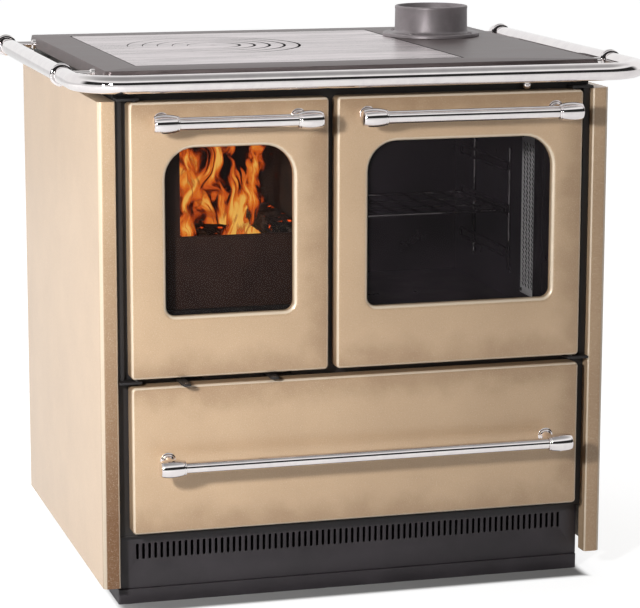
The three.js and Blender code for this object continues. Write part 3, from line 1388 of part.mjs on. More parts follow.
makeBypass();
makeAirSlide("primary_air_slide", PRIMARY_LEVER);
makeAirSlide("secondary_air_slide", SECONDARY_LEVER);

makeDoor("fire_door", FIRE_DOOR, FIRE_WINDOW_MARGIN, -1);
makeDoor("oven_door", OVEN_DOOR, OVEN_WINDOW_MARGIN, 1);
makeDoorHandle("fire_handle", FIRE_DOOR, FIRE_HANDLE_MARGIN);
makeDoorHandle("oven_handle", OVEN_DOOR, OVEN_HANDLE_MARGIN);

makeDrawer();
makeRunner("drawer_runner_left", -1);
makeRunner("drawer_runner_right", 1);
const drawerHandleTip = HALF_FIELD - DRAWER_HANDLE_MARGIN;
makeHandle("drawer_handle", -drawerHandleTip, drawerHandleTip, DRAWER_HANDLE_Z, DRAWER_HANDLE_RADIUS);

stove.position.y = -(DEPTH_FRONT + DEPTH_BACK) / 2;

export default stove;
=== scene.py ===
"""Looks of the free-standing wood cookstove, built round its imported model.

Units are metres. +X is to the right as one faces the doors, +Y runs to the back and +Z is up.
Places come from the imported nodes' boxes. A piece named NODE_fine stands for the node NODE.
"""

import json
import random
from functools import partialmethod
from math import cos, hypot, pi, radians, sin

import bmesh
import bpy
from mathutils import Matrix, Vector


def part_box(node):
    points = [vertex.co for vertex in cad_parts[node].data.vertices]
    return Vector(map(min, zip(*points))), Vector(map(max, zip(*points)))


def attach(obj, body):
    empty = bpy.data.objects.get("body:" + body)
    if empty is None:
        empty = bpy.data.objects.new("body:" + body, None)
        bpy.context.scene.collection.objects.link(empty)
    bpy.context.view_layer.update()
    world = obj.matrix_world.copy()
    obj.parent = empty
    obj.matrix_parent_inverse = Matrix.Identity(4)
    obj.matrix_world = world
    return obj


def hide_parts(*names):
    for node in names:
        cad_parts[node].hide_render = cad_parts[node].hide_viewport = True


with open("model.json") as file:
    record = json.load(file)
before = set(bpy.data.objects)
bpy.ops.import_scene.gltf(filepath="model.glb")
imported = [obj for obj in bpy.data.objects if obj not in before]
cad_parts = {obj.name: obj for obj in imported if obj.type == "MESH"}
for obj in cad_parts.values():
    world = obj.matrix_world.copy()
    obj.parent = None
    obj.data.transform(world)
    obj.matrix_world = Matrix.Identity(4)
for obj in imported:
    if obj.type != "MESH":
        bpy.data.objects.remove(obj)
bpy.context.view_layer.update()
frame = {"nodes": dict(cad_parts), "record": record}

RECORD = frame["record"]
BODY_OF = {node: body for body, nodes in RECORD["behaviour"]["bodies"].items() for node in nodes}
SLOT_OF = {row["node"]: row["material_slot"] for row in RECORD["subparts"]}

MM = 0.001
SEAT = 0.3 * MM  # gap between two pieces that touch
TURN = 2 * pi

# ---- sizes that the boxes don't give

CORNER_STEPS = 8
ROUND_STEPS = 6
FINE_SIDES = 96
BAR_SIDES = 40
WIRE_SIDES = 10

DOOR_CORNER = 7 * MM
DOOR_EDGE_DEPTH = 6 * MM
DOOR_EDGE_ROUND = 5 * MM
GLASS_LAP = 19.5 * MM
GLASS_PLAY = 0.5 * MM
WINDOW_FLARE = 8 * MM
WINDOW_FLARE_DEPTH = 6 * MM
WINDOW_TOP_RADIUS = 48 * MM
WINDOW_BOTTOM_RADIUS = 15 * MM
POCKET_DEPTH = 16 * MM
ROPE_RADIUS = 4 * MM
ROPE_MARGIN = 18 * MM
GROOVE_HALF = 4.5 * MM
GROOVE_DEPTH = 6.6 * MM

HOB_OPENING = 147 * MM
RING_STEP = 25.5 * MM
RING_GAP = 0.8 * MM
JOINT_HALF = 0.04  # half the painted shade line's width, as a share of a ring's width
FLUE_BORE = 59.5 * MM

# ---- material helpers


def rgb(code):
    """A colour written as six hexadecimal digits, as linear light with full alpha."""
    parts = [int(code[i : i + 2], 16) / 255 for i in (0, 2, 4)]
    return tuple(c / 12.92 if c <= 0.04045 else ((c + 0.055) / 1.055) ** 2.4 for c in parts) + (1,)


def grey(level):
    return (level, level, level, 1)


def spans(node):
    """A node's lower corner, its upper corner and its middle."""
    low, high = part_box(node)
    return low, high, (low + high) / 2


class Look:
    """One material, or the world, and its nodes, with short calls for the nodes that recur. A socket
    takes a colour as six hexadecimal digits too."""

    def __init__(self, name, world=False):
        self.owner = (bpy.data.worlds if world else bpy.data.materials).new(name)
        self.owner.use_nodes = True
        self.tree = self.owner.node_tree
        self.tree.nodes.clear()
        self.output = self.add("ShaderNodeOutputWorld" if world else "ShaderNodeOutputMaterial")
        self.place = self.add("ShaderNodeTexCoord").outputs["Generated" if world else "Object"]

    def add(self, kind, inputs=None, **settings):
        node = self.tree.nodes.new(kind)
        for key, value in settings.items():
            setattr(node, key, value)
        for key, value in (inputs or {}).items():
            self.feed(node.inputs[key], value)
        return node

    def feed(self, socket, value):
        if isinstance(value, bpy.types.NodeSocket):
            self.tree.links.new(value, socket)
        else:
            socket.default_value = rgb(value) if isinstance(value, str) else value

    def math(self, operation, a, b=0):
        return self.add("ShaderNodeMath", {0: a, 1: b}, operation=operation).outputs[0]

    plus = partialmethod(math, "ADD")
    minus = partialmethod(math, "SUBTRACT")
    times = partialmethod(math, "MULTIPLY")
    over = partialmethod(math, "DIVIDE")
    least = partialmethod(math, "MINIMUM")
    most = partialmethod(math, "MAXIMUM")

    def off(self, a, b=0):
        """How far a is from b."""
        return self.math("ABSOLUTE", self.minus(a, b))

    def noise(self, scale, detail=2, roughness=0.5, stretch=None, distortion=0, shift=(0, 0, 0), place=None):
        inputs = {"Vector": place or self.place, "Scale": scale, "Detail": detail}
        if stretch:
            mapping = {"Vector": inputs["Vector"], "Scale": stretch, "Location": shift}
            inputs["Vector"] = self.add("ShaderNodeMapping", mapping).outputs[0]
        inputs |= {"Roughness": roughness, "Distortion": distortion}
        return self.add("ShaderNodeTexNoise", inputs).outputs[0]

    def cells(self, scale, stretch=(1, 1, 1)):
        place = self.add("ShaderNodeMapping", {"Vector": self.place, "Scale": stretch}).outputs[0]
        return self.add("ShaderNodeTexVoronoi", {"Vector": place, "Scale": scale}).outputs["Distance"]

    def spread(self, value, low, high, to_low=0, to_high=1, smooth=False):
        """Takes low to to_low and high to to_high, and stays there beyond them."""
        inputs = {"Value": value, "From Min": low, "From Max": high, "To Min": to_low, "To Max": to_high}
        kind = "SMOOTHSTEP" if smooth else "LINEAR"
        return self.add("ShaderNodeMapRange", inputs, interpolation_type=kind).outputs[0]

    def blend(self, factor, a, b):
        return self.add("ShaderNodeMix", {0: factor, 6: a, 7: b}, data_type="RGBA").outputs[2]

    def ramp(self, value, stops):
        node = self.add("ShaderNodeValToRGB", {"Fac": value})
        elements = node.color_ramp.elements
        while len(elements) < len(stops):
            elements.new(0.5)
        for element, (position, colour) in zip(elements, stops):
            element.position = position
            element.color = colour
        return node.outputs[0]

    def bump(self, height, depth, normal=None):
        inputs = {"Height": height, "Distance": depth, "Strength": 1}
        if normal is not None:
            inputs["Normal"] = normal
        return self.add("ShaderNodeBump", inputs).outputs[0]

    def axes(self):
        return tuple(self.add("ShaderNodeSeparateXYZ", {0: self.place}).outputs)

    def show(self, shader):
        self.tree.links.new(shader.outputs[0], self.output.inputs["Surface"])
        return self.owner

    def surface(self, **inputs):
        """The shader itself. A name's underscores stand for the spaces in its socket's name."""
        named = {key.replace("_", " "): value for key, value in inputs.items()}
        return self.show(self.add("ShaderNodeBsdfPrincipled", named))


def beyond(look, middle, reach):
    """How far a point is outside a rectangle that reaches so far to each side along X and Y."""
    x, y, _ = look.axes()
    return look.most(look.minus(look.off(x, middle.x), reach.x), look.minus(look.off(y, middle.y), reach.y))


# ---- materials

ENAMEL_LIGHT = "DBBC99"
# Dark enamel tone, which the painted shade and the dark flakes blend towards.
ENAMEL_DARK = "7B5533"
# Pale colour of the enamel's flakes, and of the highlight painted where the sheet bends.
ENAMEL_FLAKE_AND_HIGHLIGHT = "F0E3CE"
# How far in from a panel's edges the painted shade reaches.
PANEL_SHADE_WIDTH = 55 * MM


def bend_painted_highlight(look):
    """1 where the sheet bends between its front and its sides, where a pale line is painted on as a
    highlight.
    """
    normal = look.add("ShaderNodeTexCoord").outputs["Normal"]
    x, y, z = (look.off(part) for part in look.add("ShaderNodeSeparateXYZ", {0: normal}).outputs)
    return look.spread(look.least(look.most(x, z), y), 0.22, 0.45, smooth=True)


def enamel(name, panel=None, column=None):
    """Fired metallic enamel: fine flake, a soft cloudiness, painted shade towards a panel's right, top and
    bottom edges, and a painted highlight where the sheet bends. column is how dark the painted shade
    makes a side panel's front column at its top and at its foot."""
    look = Look(name)
    x, y, z = look.axes()
    shade = look.spread(look.noise(9, 3, 0.6), 0.3, 0.7, 0.09, 0.20)
    # Painted shade on a side panel's front column, from its top value to its foot value.
    if column:
        front = look.spread(y, COLUMN_Y + 10 * MM, COLUMN_Y + 2 * MM, smooth=True)
        shade = look.plus(shade, look.times(front, look.spread(z, 0.75, 0.08, *column)))
    # Painted shade: the panel darkens towards its right, top and bottom edges.
    if panel:
        low, high = panel
        from_end = look.minus((high.z - low.z) / 2, look.off(z, (low.z + high.z) / 2))
        wave = look.spread(look.noise(22), 0.3, 0.7, -12 * MM, 12 * MM)
        edge = look.plus(look.least(look.minus(high.x, x), from_end), wave)
        shade = look.plus(shade, look.spread(edge, 0, PANEL_SHADE_WIDTH, 0.32, 0, smooth=True))
    tone = look.blend(look.most(look.least(shade, 1), 0), ENAMEL_LIGHT, ENAMEL_DARK)
    flake = look.noise(700, 1, 0.6)
    tone = look.blend(look.spread(flake, 0.58, 0.80, 0, 0.45), tone, ENAMEL_FLAKE_AND_HIGHLIGHT)
    tone = look.blend(look.spread(flake, 0.42, 0.22, 0, 0.26), tone, ENAMEL_DARK)
    # A painted highlight: the enamel turns pale where the sheet bends.
    tone = look.blend(look.times(bend_painted_highlight(look), 0.6), tone, ENAMEL_FLAKE_AND_HIGHLIGHT)
    peel = look.bump(look.noise(190), 0.10 * MM)
    return look.surface(
        Base_Color=tone, Metallic=0.25, Roughness=look.spread(flake, 0.2, 0.8, 0.30, 0.42),
        Normal=look.bump(flake, 0.03 * MM, peel), Coat_Weight=0.5, Coat_Roughness=0.22,
    )


def painted(name, colour, worn, roughness, grain=900, depth=0.05):
    """Matt heat-proof paint: fine grain, faint cloudiness and rubbed patches."""
    look = Look(name)
    cloud = look.noise(14, 4, 0.65)
    tone = look.blend(look.spread(cloud, 0.35, 0.75), colour, worn)
    fine = look.noise(grain, 2, 0.6)
    return look.surface(
        Base_Color=look.blend(look.spread(fine, 0.6, 0.8, 0, 0.3), tone, worn),
        Roughness=look.spread(cloud, 0.3, 0.7, roughness - 0.06, roughness + 0.08),
        Normal=look.bump(fine, depth * MM),
    )


def brushed(name, colour, streak, roughness, depth, gap_painted_shade, metallic=0.85):
    """Machined metal with lines along X, in which wider wavy bands stand lighter and darker. The last
    argument says where shade is painted dark into the gaps between parts."""
    look = Look(name)
    lines = look.noise(9, 6, 0.75, (1, 60, 60))
    hair = look.noise(30, 4, 0.7, (1, 45, 45))
    waves = look.noise(6, 4, 0.6, (0.5, 4.5, 4.5), distortion=0.6)
    mark = look.plus(look.spread(lines, 0.42, 0.58, 0, 0.62), look.spread(waves, 0.42, 0.58, 0, 0.38))
    # Painted shade: the gaps between parts go dark and lose their shine.
    gap_shade = gap_painted_shade(look)
    return look.surface(
        Base_Color=look.blend(gap_shade, look.blend(mark, colour, streak), "0C0A0A"),
        Metallic=look.spread(gap_shade, 0, 1, metallic, 0),
        Specular_IOR_Level=look.spread(gap_shade, 0, 1, 0.5, 0),
        Roughness=look.spread(mark, 0, 1, roughness - 0.05, roughness + 0.08),
        Normal=look.bump(look.plus(lines, hair), depth * MM),
    )


def joint_painted_shade(look):
    """1 along the circles where the hob's rings meet, where shade is painted into the gaps, and 0 elsewhere.
    """
    x, y, _ = look.axes()
    middle = spans("hob_ring_1")[2]
    dx = look.minus(x, middle.x)
    dy = look.minus(y, middle.y)
    radius = look.math("SQRT", look.plus(look.times(dx, dx), look.times(dy, dy)))
    steps = look.over(look.minus(HOB_OPENING, radius), RING_STEP)
    # The painted shade line grows wider towards the right side, away from the light.
    reach = look.spread(look.over(dx, radius), -0.4, 0.9, JOINT_HALF * 0.5, JOINT_HALF * 2)
    line = look.spread(look.over(look.off(steps, look.math("ROUND", steps)), reach), 1, 1.5, 1, 0)
    inside = look.math("LESS_THAN", radius, HOB_OPENING + 4 * MM)
    outside = look.math("GREATER_THAN", radius, HOB_OPENING - 4.5 * RING_STEP)
    return look.times(line, look.times(inside, outside))


def seam_painted_shade(look):
    """1 in the frame's seam round the hob plate, where shade is painted into the gap, and 0 elsewhere."""
    low, high, middle = spans("hob_plate")
    return look.spread(beyond(look, middle, (high - low) / 2), 2.6 * MM, 3.6 * MM, 1, 0)


def chrome(name="chrome", bright="F2EDEC", dull="E9E3E4"):
    """Polished plating with a breath of smudges."""
    look = Look(name)
    smudge = look.noise(35, 4, 0.6)
    return look.surface(
        Base_Color=look.blend(look.spread(smudge, 0.4, 0.7), bright, dull), Metallic=1,
        Roughness=look.spread(smudge, 0.35, 0.75, 0.02, 0.05),
        Normal=look.bump(look.noise(260), 0.006 * MM),
    )


def cast(name, colour, pit, roughness, depth=0.25, metallic=0.3):
    """Sand-cast iron: a pebbled skin with small pits."""
    look = Look(name)
    grain = look.noise(300, 4, 0.65)
    tone = look.blend(look.spread(look.noise(16, 4, 0.6), 0.35, 0.7), colour, pit)
    height = look.plus(look.spread(look.cells(420), 0, 0.7, 0.6, 0), grain)
    return look.surface(
        Base_Color=look.blend(look.spread(grain, 0.55, 0.75, 0, 0.4), tone, pit), Metallic=metallic,
        Roughness=look.spread(grain, 0.3, 0.7, roughness - 0.08, roughness + 0.1),
        Normal=look.bump(height, depth * MM),
    )


def refractory(name="refractory"):
    """Fired board with soot and pale flecks."""
    look = Look(name)
    fleck = look.cells(230)
    tone = look.blend(look.spread(look.noise(11, 5, 0.7), 0.35, 0.65), "4C3B2E", "1F1712")
    tone = look.blend(look.spread(fleck, 0.25, 0.1, 0, 0.5), tone, "7A6650")
    rough = look.bump(look.plus(fleck, look.noise(90, 4)), 0.6 * MM)
    return look.surface(Base_Color=tone, Roughness=0.95, Normal=rough)


def galvanised(name="galvanised"):
    """Zinc-coated sheet with its large spangles."""
    look = Look(name)
    spangle = look.add("ShaderNodeTexVoronoi", {"Vector": look.place, "Scale": 75})
    tint = look.add("ShaderNodeRGBToBW", {0: spangle.outputs["Color"]}).outputs[0]
    return look.surface(
        Base_Color=look.blend(look.spread(tint, 0.2, 0.8), "868A8C", "9A9EA0"), Metallic=0.8,
        Roughness=look.spread(tint, 0.2, 0.8, 0.34, 0.5), Normal=look.bump(tint, 0.02 * MM),
    )


def rope(name="gasket_rope"):
    """Braided glass fibre."""
    look = Look(name)
    strand = look.noise(260)
    tone = look.blend(look.spread(strand, 0.35, 0.65), "35322F", "625D57")
    braid = look.bump(look.plus(look.noise(900, 3, 0.7), strand), 0.35 * MM)
    return look.surface(Base_Color=tone, Roughness=0.95, Normal=braid)


def pane(name, colour, cover):
    """Heat-proof glass with a smoky tint; cover is how much it hides of what is behind it."""
    look = Look(name)
    film = look.spread(look.noise(7, 4, 0.6), 0.3, 0.7)
    tone = look.blend(film, colour, "151112")
    return look.surface(Base_Color=tone, Roughness=0.03, IOR=1.5, Specular_IOR_Level=0.2, Alpha=cover)


MATERIALS = {
    "enamel": enamel("enamel"),
    "charcoal_steel": painted("charcoal_steel", "2B272A", "383337", 0.5),
    "black_steel": painted("black_steel", "191618", "28231F", 0.6),
    "galvanised": galvanised(),
    "refractory": refractory(),
    "raw_cast_iron": cast("raw_cast_iron", "33241D", "241A16", 0.7),
    "oven_enamel": painted("oven_enamel", "1D1A1E", "2A262B", 0.32, grain=500, depth=0.03),
    "wire": chrome("wire", "8E8889", "6A6566"),
    "cast_top": brushed("cast_top", "4C4343", "746969", 0.42, 0.02, seam_painted_shade, metallic=0.55),
    "brushed_hob": brushed("brushed_hob", "948A8B", "F4EAEC", 0.30, 0.03, joint_painted_shade),
    "flue_iron": cast("flue_iron", "7A7375", "8F888A", 0.44, depth=0.08, metallic=0.4),
    "chrome": chrome(),
    "glass": pane("glass_oven", "3A3238", 0.26),
    "gasket_rope": rope(),
}
FIRE_GLASS = pane("glass_fire", "1A120E", 0.22)
GUARD_LOOK = painted("guard_iron", "3F271D", "35211A", 0.85, grain=500, depth=0.02)

# ---- mesh helpers


def arc(cx, cy, radius, start, end, steps=ROUND_STEPS):
    angles = [radians(start + (end - start) * i / steps) for i in range(steps + 1)]
    return [(cx + radius * cos(a), cy + radius * sin(a)) for a in angles]


def rounded(x0, x1, z0, z1, low, high=None, steps=CORNER_STEPS):
    """A rectangle with rounded corners as points, as many whatever its radii. With both radii at
    half its width it is a circle."""
    high = low if high is None else high
    points = arc(x1 - low, z0 + low, low, -90, 0, steps) + arc(x1 - high, z1 - high, high, 0, 90, steps)
    points += arc(x0 + high, z1 - high, high, 90, 180, steps)
    return points + arc(x0 + low, z0 + low, low, 180, 270, steps)


def framed(low, high, inset, radius, top=None, steps=CORNER_STEPS, up="z"):
    """A box's outline drawn in by inset, its corners rounded, as seen along Y, or along Z with up="y"."""
    bottom, end = getattr(low, up) + inset, getattr(high, up) - inset
    return rounded(low.x + inset, high.x - inset, bottom, end, radius, top, steps)


def slot_outline(cx, cz, width, height, steps=4):
    """A slot with round ends, its longer way along whichever of width and height is larger."""
    w, h = width / 2, height / 2
    return rounded(cx - w, cx + w, cz - h, cz + h, min(w, h), steps=steps)


def at_y(points, y):
    return [(x, y, z) for x, z in points]


def at_z(points, z):
    return [(x, y, z) for x, y in points]


def quarter(count=ROUND_STEPS):
    """Pairs that run from (0, 1) to (1, 0) along a quarter circle."""
    return [(sin(a), cos(a)) for a in (pi / 2 * i / count for i in range(count + 1))]


def spokes(sides):
    """The cosine and the sine of each of so many equal turns."""
    return [(cos(TURN * k / sides), sin(TURN * k / sides)) for k in range(sides)]


def linked(name, data):
    """A new object in the scene."""
    made = bpy.data.objects.new(name, data)
    bpy.context.scene.collection.objects.link(made)
    return made


def mesh_from(name, work):
    """A finished bmesh as a mesh."""
    mesh = bpy.data.meshes.new(name)
    work.to_mesh(mesh)
    work.free()
    return mesh


def evaluated(holder):
    """An object's mesh with its modifiers or its curve worked out. The object goes."""
    mesh = bpy.data.meshes.new_from_object(holder.evaluated_get(bpy.context.evaluated_depsgraph_get()))
    bpy.data.objects.remove(holder)
    return mesh


def cleaned(mesh):
    """The same mesh with double points merged and its faces turned outwards."""
    work = bmesh.new()
    work.from_mesh(mesh)
    bmesh.ops.remove_doubles(work, verts=work.verts, dist=1e-6)
    bmesh.ops.dissolve_degenerate(work, edges=work.edges, dist=1e-7)
    bmesh.ops.recalc_face_normals(work, faces=work.faces)
    work.to_mesh(mesh)
    work.free()
    return mesh


def loft(loops, ring=False):
    """A closed surface through closed loops of equally many points. A ring's last loop joins its first;
    any other is capped at both ends."""
    count = len(loops[0])
    last = len(loops) - 1
    faces = []
    for k in range(len(loops) if ring else last):
        a, b = k * count, (k + 1) % len(loops) * count
        for i in range(count):
            j = (i + 1) % count
            faces.append((a + i, a + j, b + j, b + i))
    if not ring:
        faces.append(tuple(range(count - 1, -1, -1)))
        faces.append(tuple(last * count + i for i in range(count)))
    mesh = bpy.data.meshes.new("loft")
    mesh.from_pydata([point for loop in loops for point in loop], [], faces)
    return cleaned(mesh)


def turned(profile, axis="Z", place=(0, 0, 0), sides=FINE_SIDES, ring=False):
    """A profile of (radius, height) turned about an axis. A ring's profile closes on itself; any other
    is capped at both ends."""
    mesh = loft([[(r * c, r * s, height) for c, s in spokes(sides)] for r, height in profile], ring)
    quarters, about = {"X": (1, "Y"), "-X": (-1, "Y"), "Y": (-1, "X"), "-Y": (1, "X"), "Z": (0, "X")}[axis]
    mesh.transform(Matrix.Translation(place) @ Matrix.Rotation(quarters * pi / 2, 4, about))
    return mesh


def tube(path, radius, sides=WIRE_SIDES, closed=False):
    """A round tube along a path. radius is a number or a function of the point's number."""
    points = [Vector(p) for p in path]
    count = len(points)
    size = radius if callable(radius) else (lambda i: radius)
    normal = None
    loops = []
    for i, point in enumerate(points):
        before = points[i - 1] if (i or closed) else point
        after = points[(i + 1) % count] if (i < count - 1 or closed) else point
        along = (after - before).normalized()
        if normal is None:
            normal = along.orthogonal().normalized()
        normal = (normal - along * normal.dot(along)).normalized()
        side = along.cross(normal)
        loops.append([tuple(point + size(i) * (normal * c + side * s)) for c, s in spokes(sides)])
    return loft(loops, ring=closed)


def merged(meshes):
    """Several meshes as one."""
    work = bmesh.new()
    for mesh in meshes:
        work.from_mesh(mesh)
    return mesh_from("merged", work)


def combined(mesh, others, operation):
    """A mesh joined with others, or cut by them."""
    base = linked("base", mesh)
    tools = [linked("tool", other) for other in others]
    for tool in tools:
        modifier = base.modifiers.new("tool", "BOOLEAN")
        modifier.operation = operation
        modifier.solver = "EXACT"
        modifier.object = tool
    result = evaluated(base)
    for tool in tools:
        bpy.data.objects.remove(tool)
    return cleaned(result)


def box_mesh(low, high):
    """A box between two corners."""
    work = bmesh.new()
    bmesh.ops.create_cube(work, size=1)
    middle = (Vector(low) + Vector(high)) / 2
    size = Vector(high) - Vector(low)
    for vertex in work.verts:
        vertex.co = middle + Vector(c * s for c, s in zip(vertex.co, size))
    return mesh_from("box", work)


def sheet_with_holes(outline, holes, thickness, bevel, place):
    """A flat sheet with holes, its edges rounded. outline and holes are lists of (u, v), and place is
    the matrix that lays the sheet's middle plane where it belongs."""
    curve = bpy.data.curves.new("sheet", "CURVE")
    curve.dimensions = "2D"
    curve.fill_mode = "BOTH"
    for points in [outline, *holes]:
        spline = curve.splines.new("POLY")
        spline.points.add(len(points) - 1)
        spline.use_cyclic_u = True
        for target, (u, v) in zip(spline.points, points):
            target.co = (u, v, 0, 1)
    curve.extrude = thickness / 2 - bevel
    curve.bevel_depth = bevel
    curve.bevel_resolution = 1
    curve.offset = -bevel
    mesh = evaluated(linked("sheet", curve))
    mesh.transform(place)
    return cleaned(mesh)


def softened(node, width, segments, sharpest):
    """The node's own mesh with its flat faces made whole and its edges rounded."""
    work = bmesh.new()
    work.from_mesh(frame["nodes"][node].data)
    bmesh.ops.remove_doubles(work, verts=work.verts, dist=1e-6)
    bmesh.ops.dissolve_limit(work, angle_limit=radians(1), verts=work.verts, edges=work.edges)
    edges = [e for e in work.edges if len(e.link_faces) == 2]
    sharp = [e for e in edges if e.calc_face_angle(0) > radians(sharpest)]
    bmesh.ops.bevel(
        work, geom=sharp, offset=width, segments=segments, profile=0.6, affect="EDGES", clamp_overlap=True
    )
    bmesh.ops.recalc_face_normals(work, faces=work.faces)
    return mesh_from(node, work)


def piece(name, mesh, body, slot, material=None, smooth=32):
    """A new piece of the object. Faces that meet at less than smooth degrees shade as one surface."""
    mesh.shade_smooth()
    mesh.set_sharp_from_angle(angle=radians(smooth))
    mesh.materials.clear()
    mesh.materials.append(material or MATERIALS[slot])
    made = linked(name, mesh)
    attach(made, body)
    return made


def stand_in(node, mesh, material=None, smooth=32):
    """A piece that is shown in place of a node."""
    made = piece(f"{node}_fine", mesh, BODY_OF[node], SLOT_OF[node], material, smooth)
    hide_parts(node)


def soften(width, *nodes, segments=2, sharpest=40, material=None):
    """Shows nodes with their own shapes, their edges rounded."""
    for node in nodes:
        stand_in(node, softened(node, width, segments, sharpest), material)


def screws(name, body, places, axis, radius, height, slot="wire"):
    """Low domed heads with a socket, each with its foot at one of the places, as one piece."""
    socket = radius * 0.45
    dome = [(radius * c, height * (0.35 + 0.65 * s)) for s, c in quarter(4)][:-1]
    profile = [(radius, 0), *dome, (socket * 1.15, height), (socket, height * 0.9), (socket, height * 0.35)]
    piece(name, merged(turned(profile, axis, place, 24) for place in places), body, slot)


# ---- cabinet

SHEET = 2.5 * MM
COLUMN = 28 * MM
COLUMN_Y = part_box("side_panel_left")[0].y
COLUMN_OUTER = 8 * MM
COLUMN_INNER = 4 * MM
REAR_FLANGE = 22 * MM


def make_side_panel(node):
    """One folded sheet: side wall, rounded column, inner return, rear flange, and a lid on the column.
    It is drawn as the left one."""
    low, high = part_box(node)
    side = -1 if low.x < 0 else 1
    left = -max(abs(low.x), abs(high.x))
    column = left + COLUMN
    back_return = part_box("front_frame")[1].y - 1 * MM
    lid_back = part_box("back_panel")[0].y - SEAT

    def corners(depth):
        """The column's two corners, at a depth under the sheet's outer face."""
        outer = arc(left + COLUMN_OUTER, low.y + COLUMN_OUTER, COLUMN_OUTER - depth, 180, 270, 10)
        return outer + arc(column - COLUMN_INNER, low.y + COLUMN_INNER, COLUMN_INNER - depth, -90, 0)

    def upright(points, foot):
        points = [(-side * x, y) for x, y in points]
        return loft([at_z(points, foot), at_z(points, high.z)])

    section = [(left + REAR_FLANGE, high.y - SHEET), (left + REAR_FLANGE, high.y), (left, high.y)]
    section += [*corners(0), (column, back_return), (column - SHEET, back_return)]
    section += [*reversed(corners(SHEET)), (left + SHEET, high.y - SHEET)]
    lid = [(column, lid_back), (left, lid_back), *corners(0)]
    panel = combined(upright(section, low.z), [upright(lid, high.z - SHEET)], "UNION")
    # Painted shade on the front column: the left one darkens strongly towards its foot, the right one stays
    # evenly darker.
    column_painted_shade = (-0.06, 0.95) if side < 0 else (0.22, 0.34)
    stand_in(node, panel, enamel(f"enamel_{node}", column=column_painted_shade))


def make_pierced(node, holes, bevel):
    """An upright sheet with holes."""
    low, high, middle = spans(node)
    upright = Matrix.Translation((0, middle.y, 0)) @ Matrix.Rotation(pi / 2, 4, "X")
    outline = framed(low, high, 0, 1 * MM, steps=2)
    stand_in(node, sheet_with_holes(outline, holes, high.y - low.y, bevel, upright))


def make_plinth():
    soften(1.2 * MM, "base_frame")
    soften(0.6 * MM, "floor_plate")
    low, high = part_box("plinth_grille")
    pitch, width, height = 10 * MM, 4.5 * MM, 26 * MM
    top_margin, end_margin = 14 * MM, 27 * MM
    count = int((high.x - low.x - 2 * end_margin - width) / pitch) + 1
    middle = high.z - top_margin - height / 2
    holes = [slot_outline((i - (count - 1) / 2) * pitch, middle, width, height) for i in range(count)]
    make_pierced("plinth_grille", holes, 0.4 * MM)


def make_back_panel():
    """The rear sheet with two double rows of vents and a row of screws down each side."""
    low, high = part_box("back_panel")
    length, height, pitch, row_pitch = 70 * MM, 6 * MM, 100 * MM, 20 * MM
    bottom = low.z + 100 * MM
    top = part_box("side_panel_left")[1].z - 70 * MM
    holes = []
    for row in (bottom, bottom + row_pitch, top - row_pitch, top):
        for column in (-3, -2, -1, 1, 2, 3):
            holes.append(slot_outline(column * pitch, row + height / 2, length, height))
    make_pierced("back_panel", holes, 0.3 * MM)
    inset, margin, rows = 8 * MM, 40 * MM, 6
    places = []
    for side in (-1, 1):
        for i in range(rows):
            z = low.z + margin + (high.z - low.z - 2 * margin) * i / (rows - 1)
            places.append((side * (high.x - inset), high.y, z))
    screws("back_panel_screws", "root", places, "Y", 4.2 * MM, 2.2 * MM)


# ---- doors and drawer


def edge_loops(low, high):
    """The rounded front edge of a pressed panel, from its back to its front face."""
    loops = [at_y(framed(low, high, 0, DOOR_CORNER), high.y)]
    for s, c in quarter():
        inset = DOOR_EDGE_ROUND * (1 - c)
        loops.append(at_y(framed(low, high, inset, DOOR_CORNER - inset), low.y + DOOR_EDGE_DEPTH * (1 - s)))
    return loops


def make_door(prefix):
    """A pressed door with a flared window, a pocket for the glass and a groove for the rope."""
    low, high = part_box(prefix)
    glass_low, glass_high, middle = spans(f"{prefix}_glass")
    window_low = glass_low + Vector((GLASS_LAP, 0, GLASS_LAP))
    window_high = glass_high - Vector((GLASS_LAP, 0, GLASS_LAP))

    def window(grow, y):
        radii = WINDOW_BOTTOM_RADIUS + grow, WINDOW_TOP_RADIUS + grow
        return at_y(framed(window_low, window_high, -grow, *radii), y)

    def rope_round(offset, y):
        return at_y(framed(low, high, ROPE_MARGIN + offset, 2 * ROPE_RADIUS - offset), y)

    loops = edge_loops(low, high)
    loops += [window(WINDOW_FLARE * (1 - s), low.y + WINDOW_FLARE_DEPTH * (1 - c)) for s, c in quarter()]
    pocket = high.y - POCKET_DEPTH
    lap = GLASS_LAP + GLASS_PLAY
    loops += [window(0, pocket), window(lap, pocket), window(lap, high.y)]
    floor = high.y - GROOVE_DEPTH
    loops += [rope_round(GROOVE_HALF, high.y), rope_round(GROOVE_HALF, floor)]
    loops += [rope_round(-GROOVE_HALF, floor), rope_round(-GROOVE_HALF, high.y)]
    # The door's enamel has painted shade towards its right, top and bottom edges.
    stand_in(prefix, loft(loops, ring=True), enamel(f"enamel_{prefix}", (low, high)))
    make_rope(f"{prefix}_gasket")
    soften(0.8 * MM, f"{prefix}_inner_frame", sharpest=50)
    reach = 13 * MM
    y = high.y - SEAT
    places = [(x, y, middle.z) for x in (window_low.x - reach, window_high.x + reach)]
    places += [(middle.x, y, z) for z in (window_low.z - reach, window_high.z + reach)]
    screws(f"{prefix}_screws", BODY_OF[prefix], places, "Y", 3.2 * MM, 0.25 * MM)


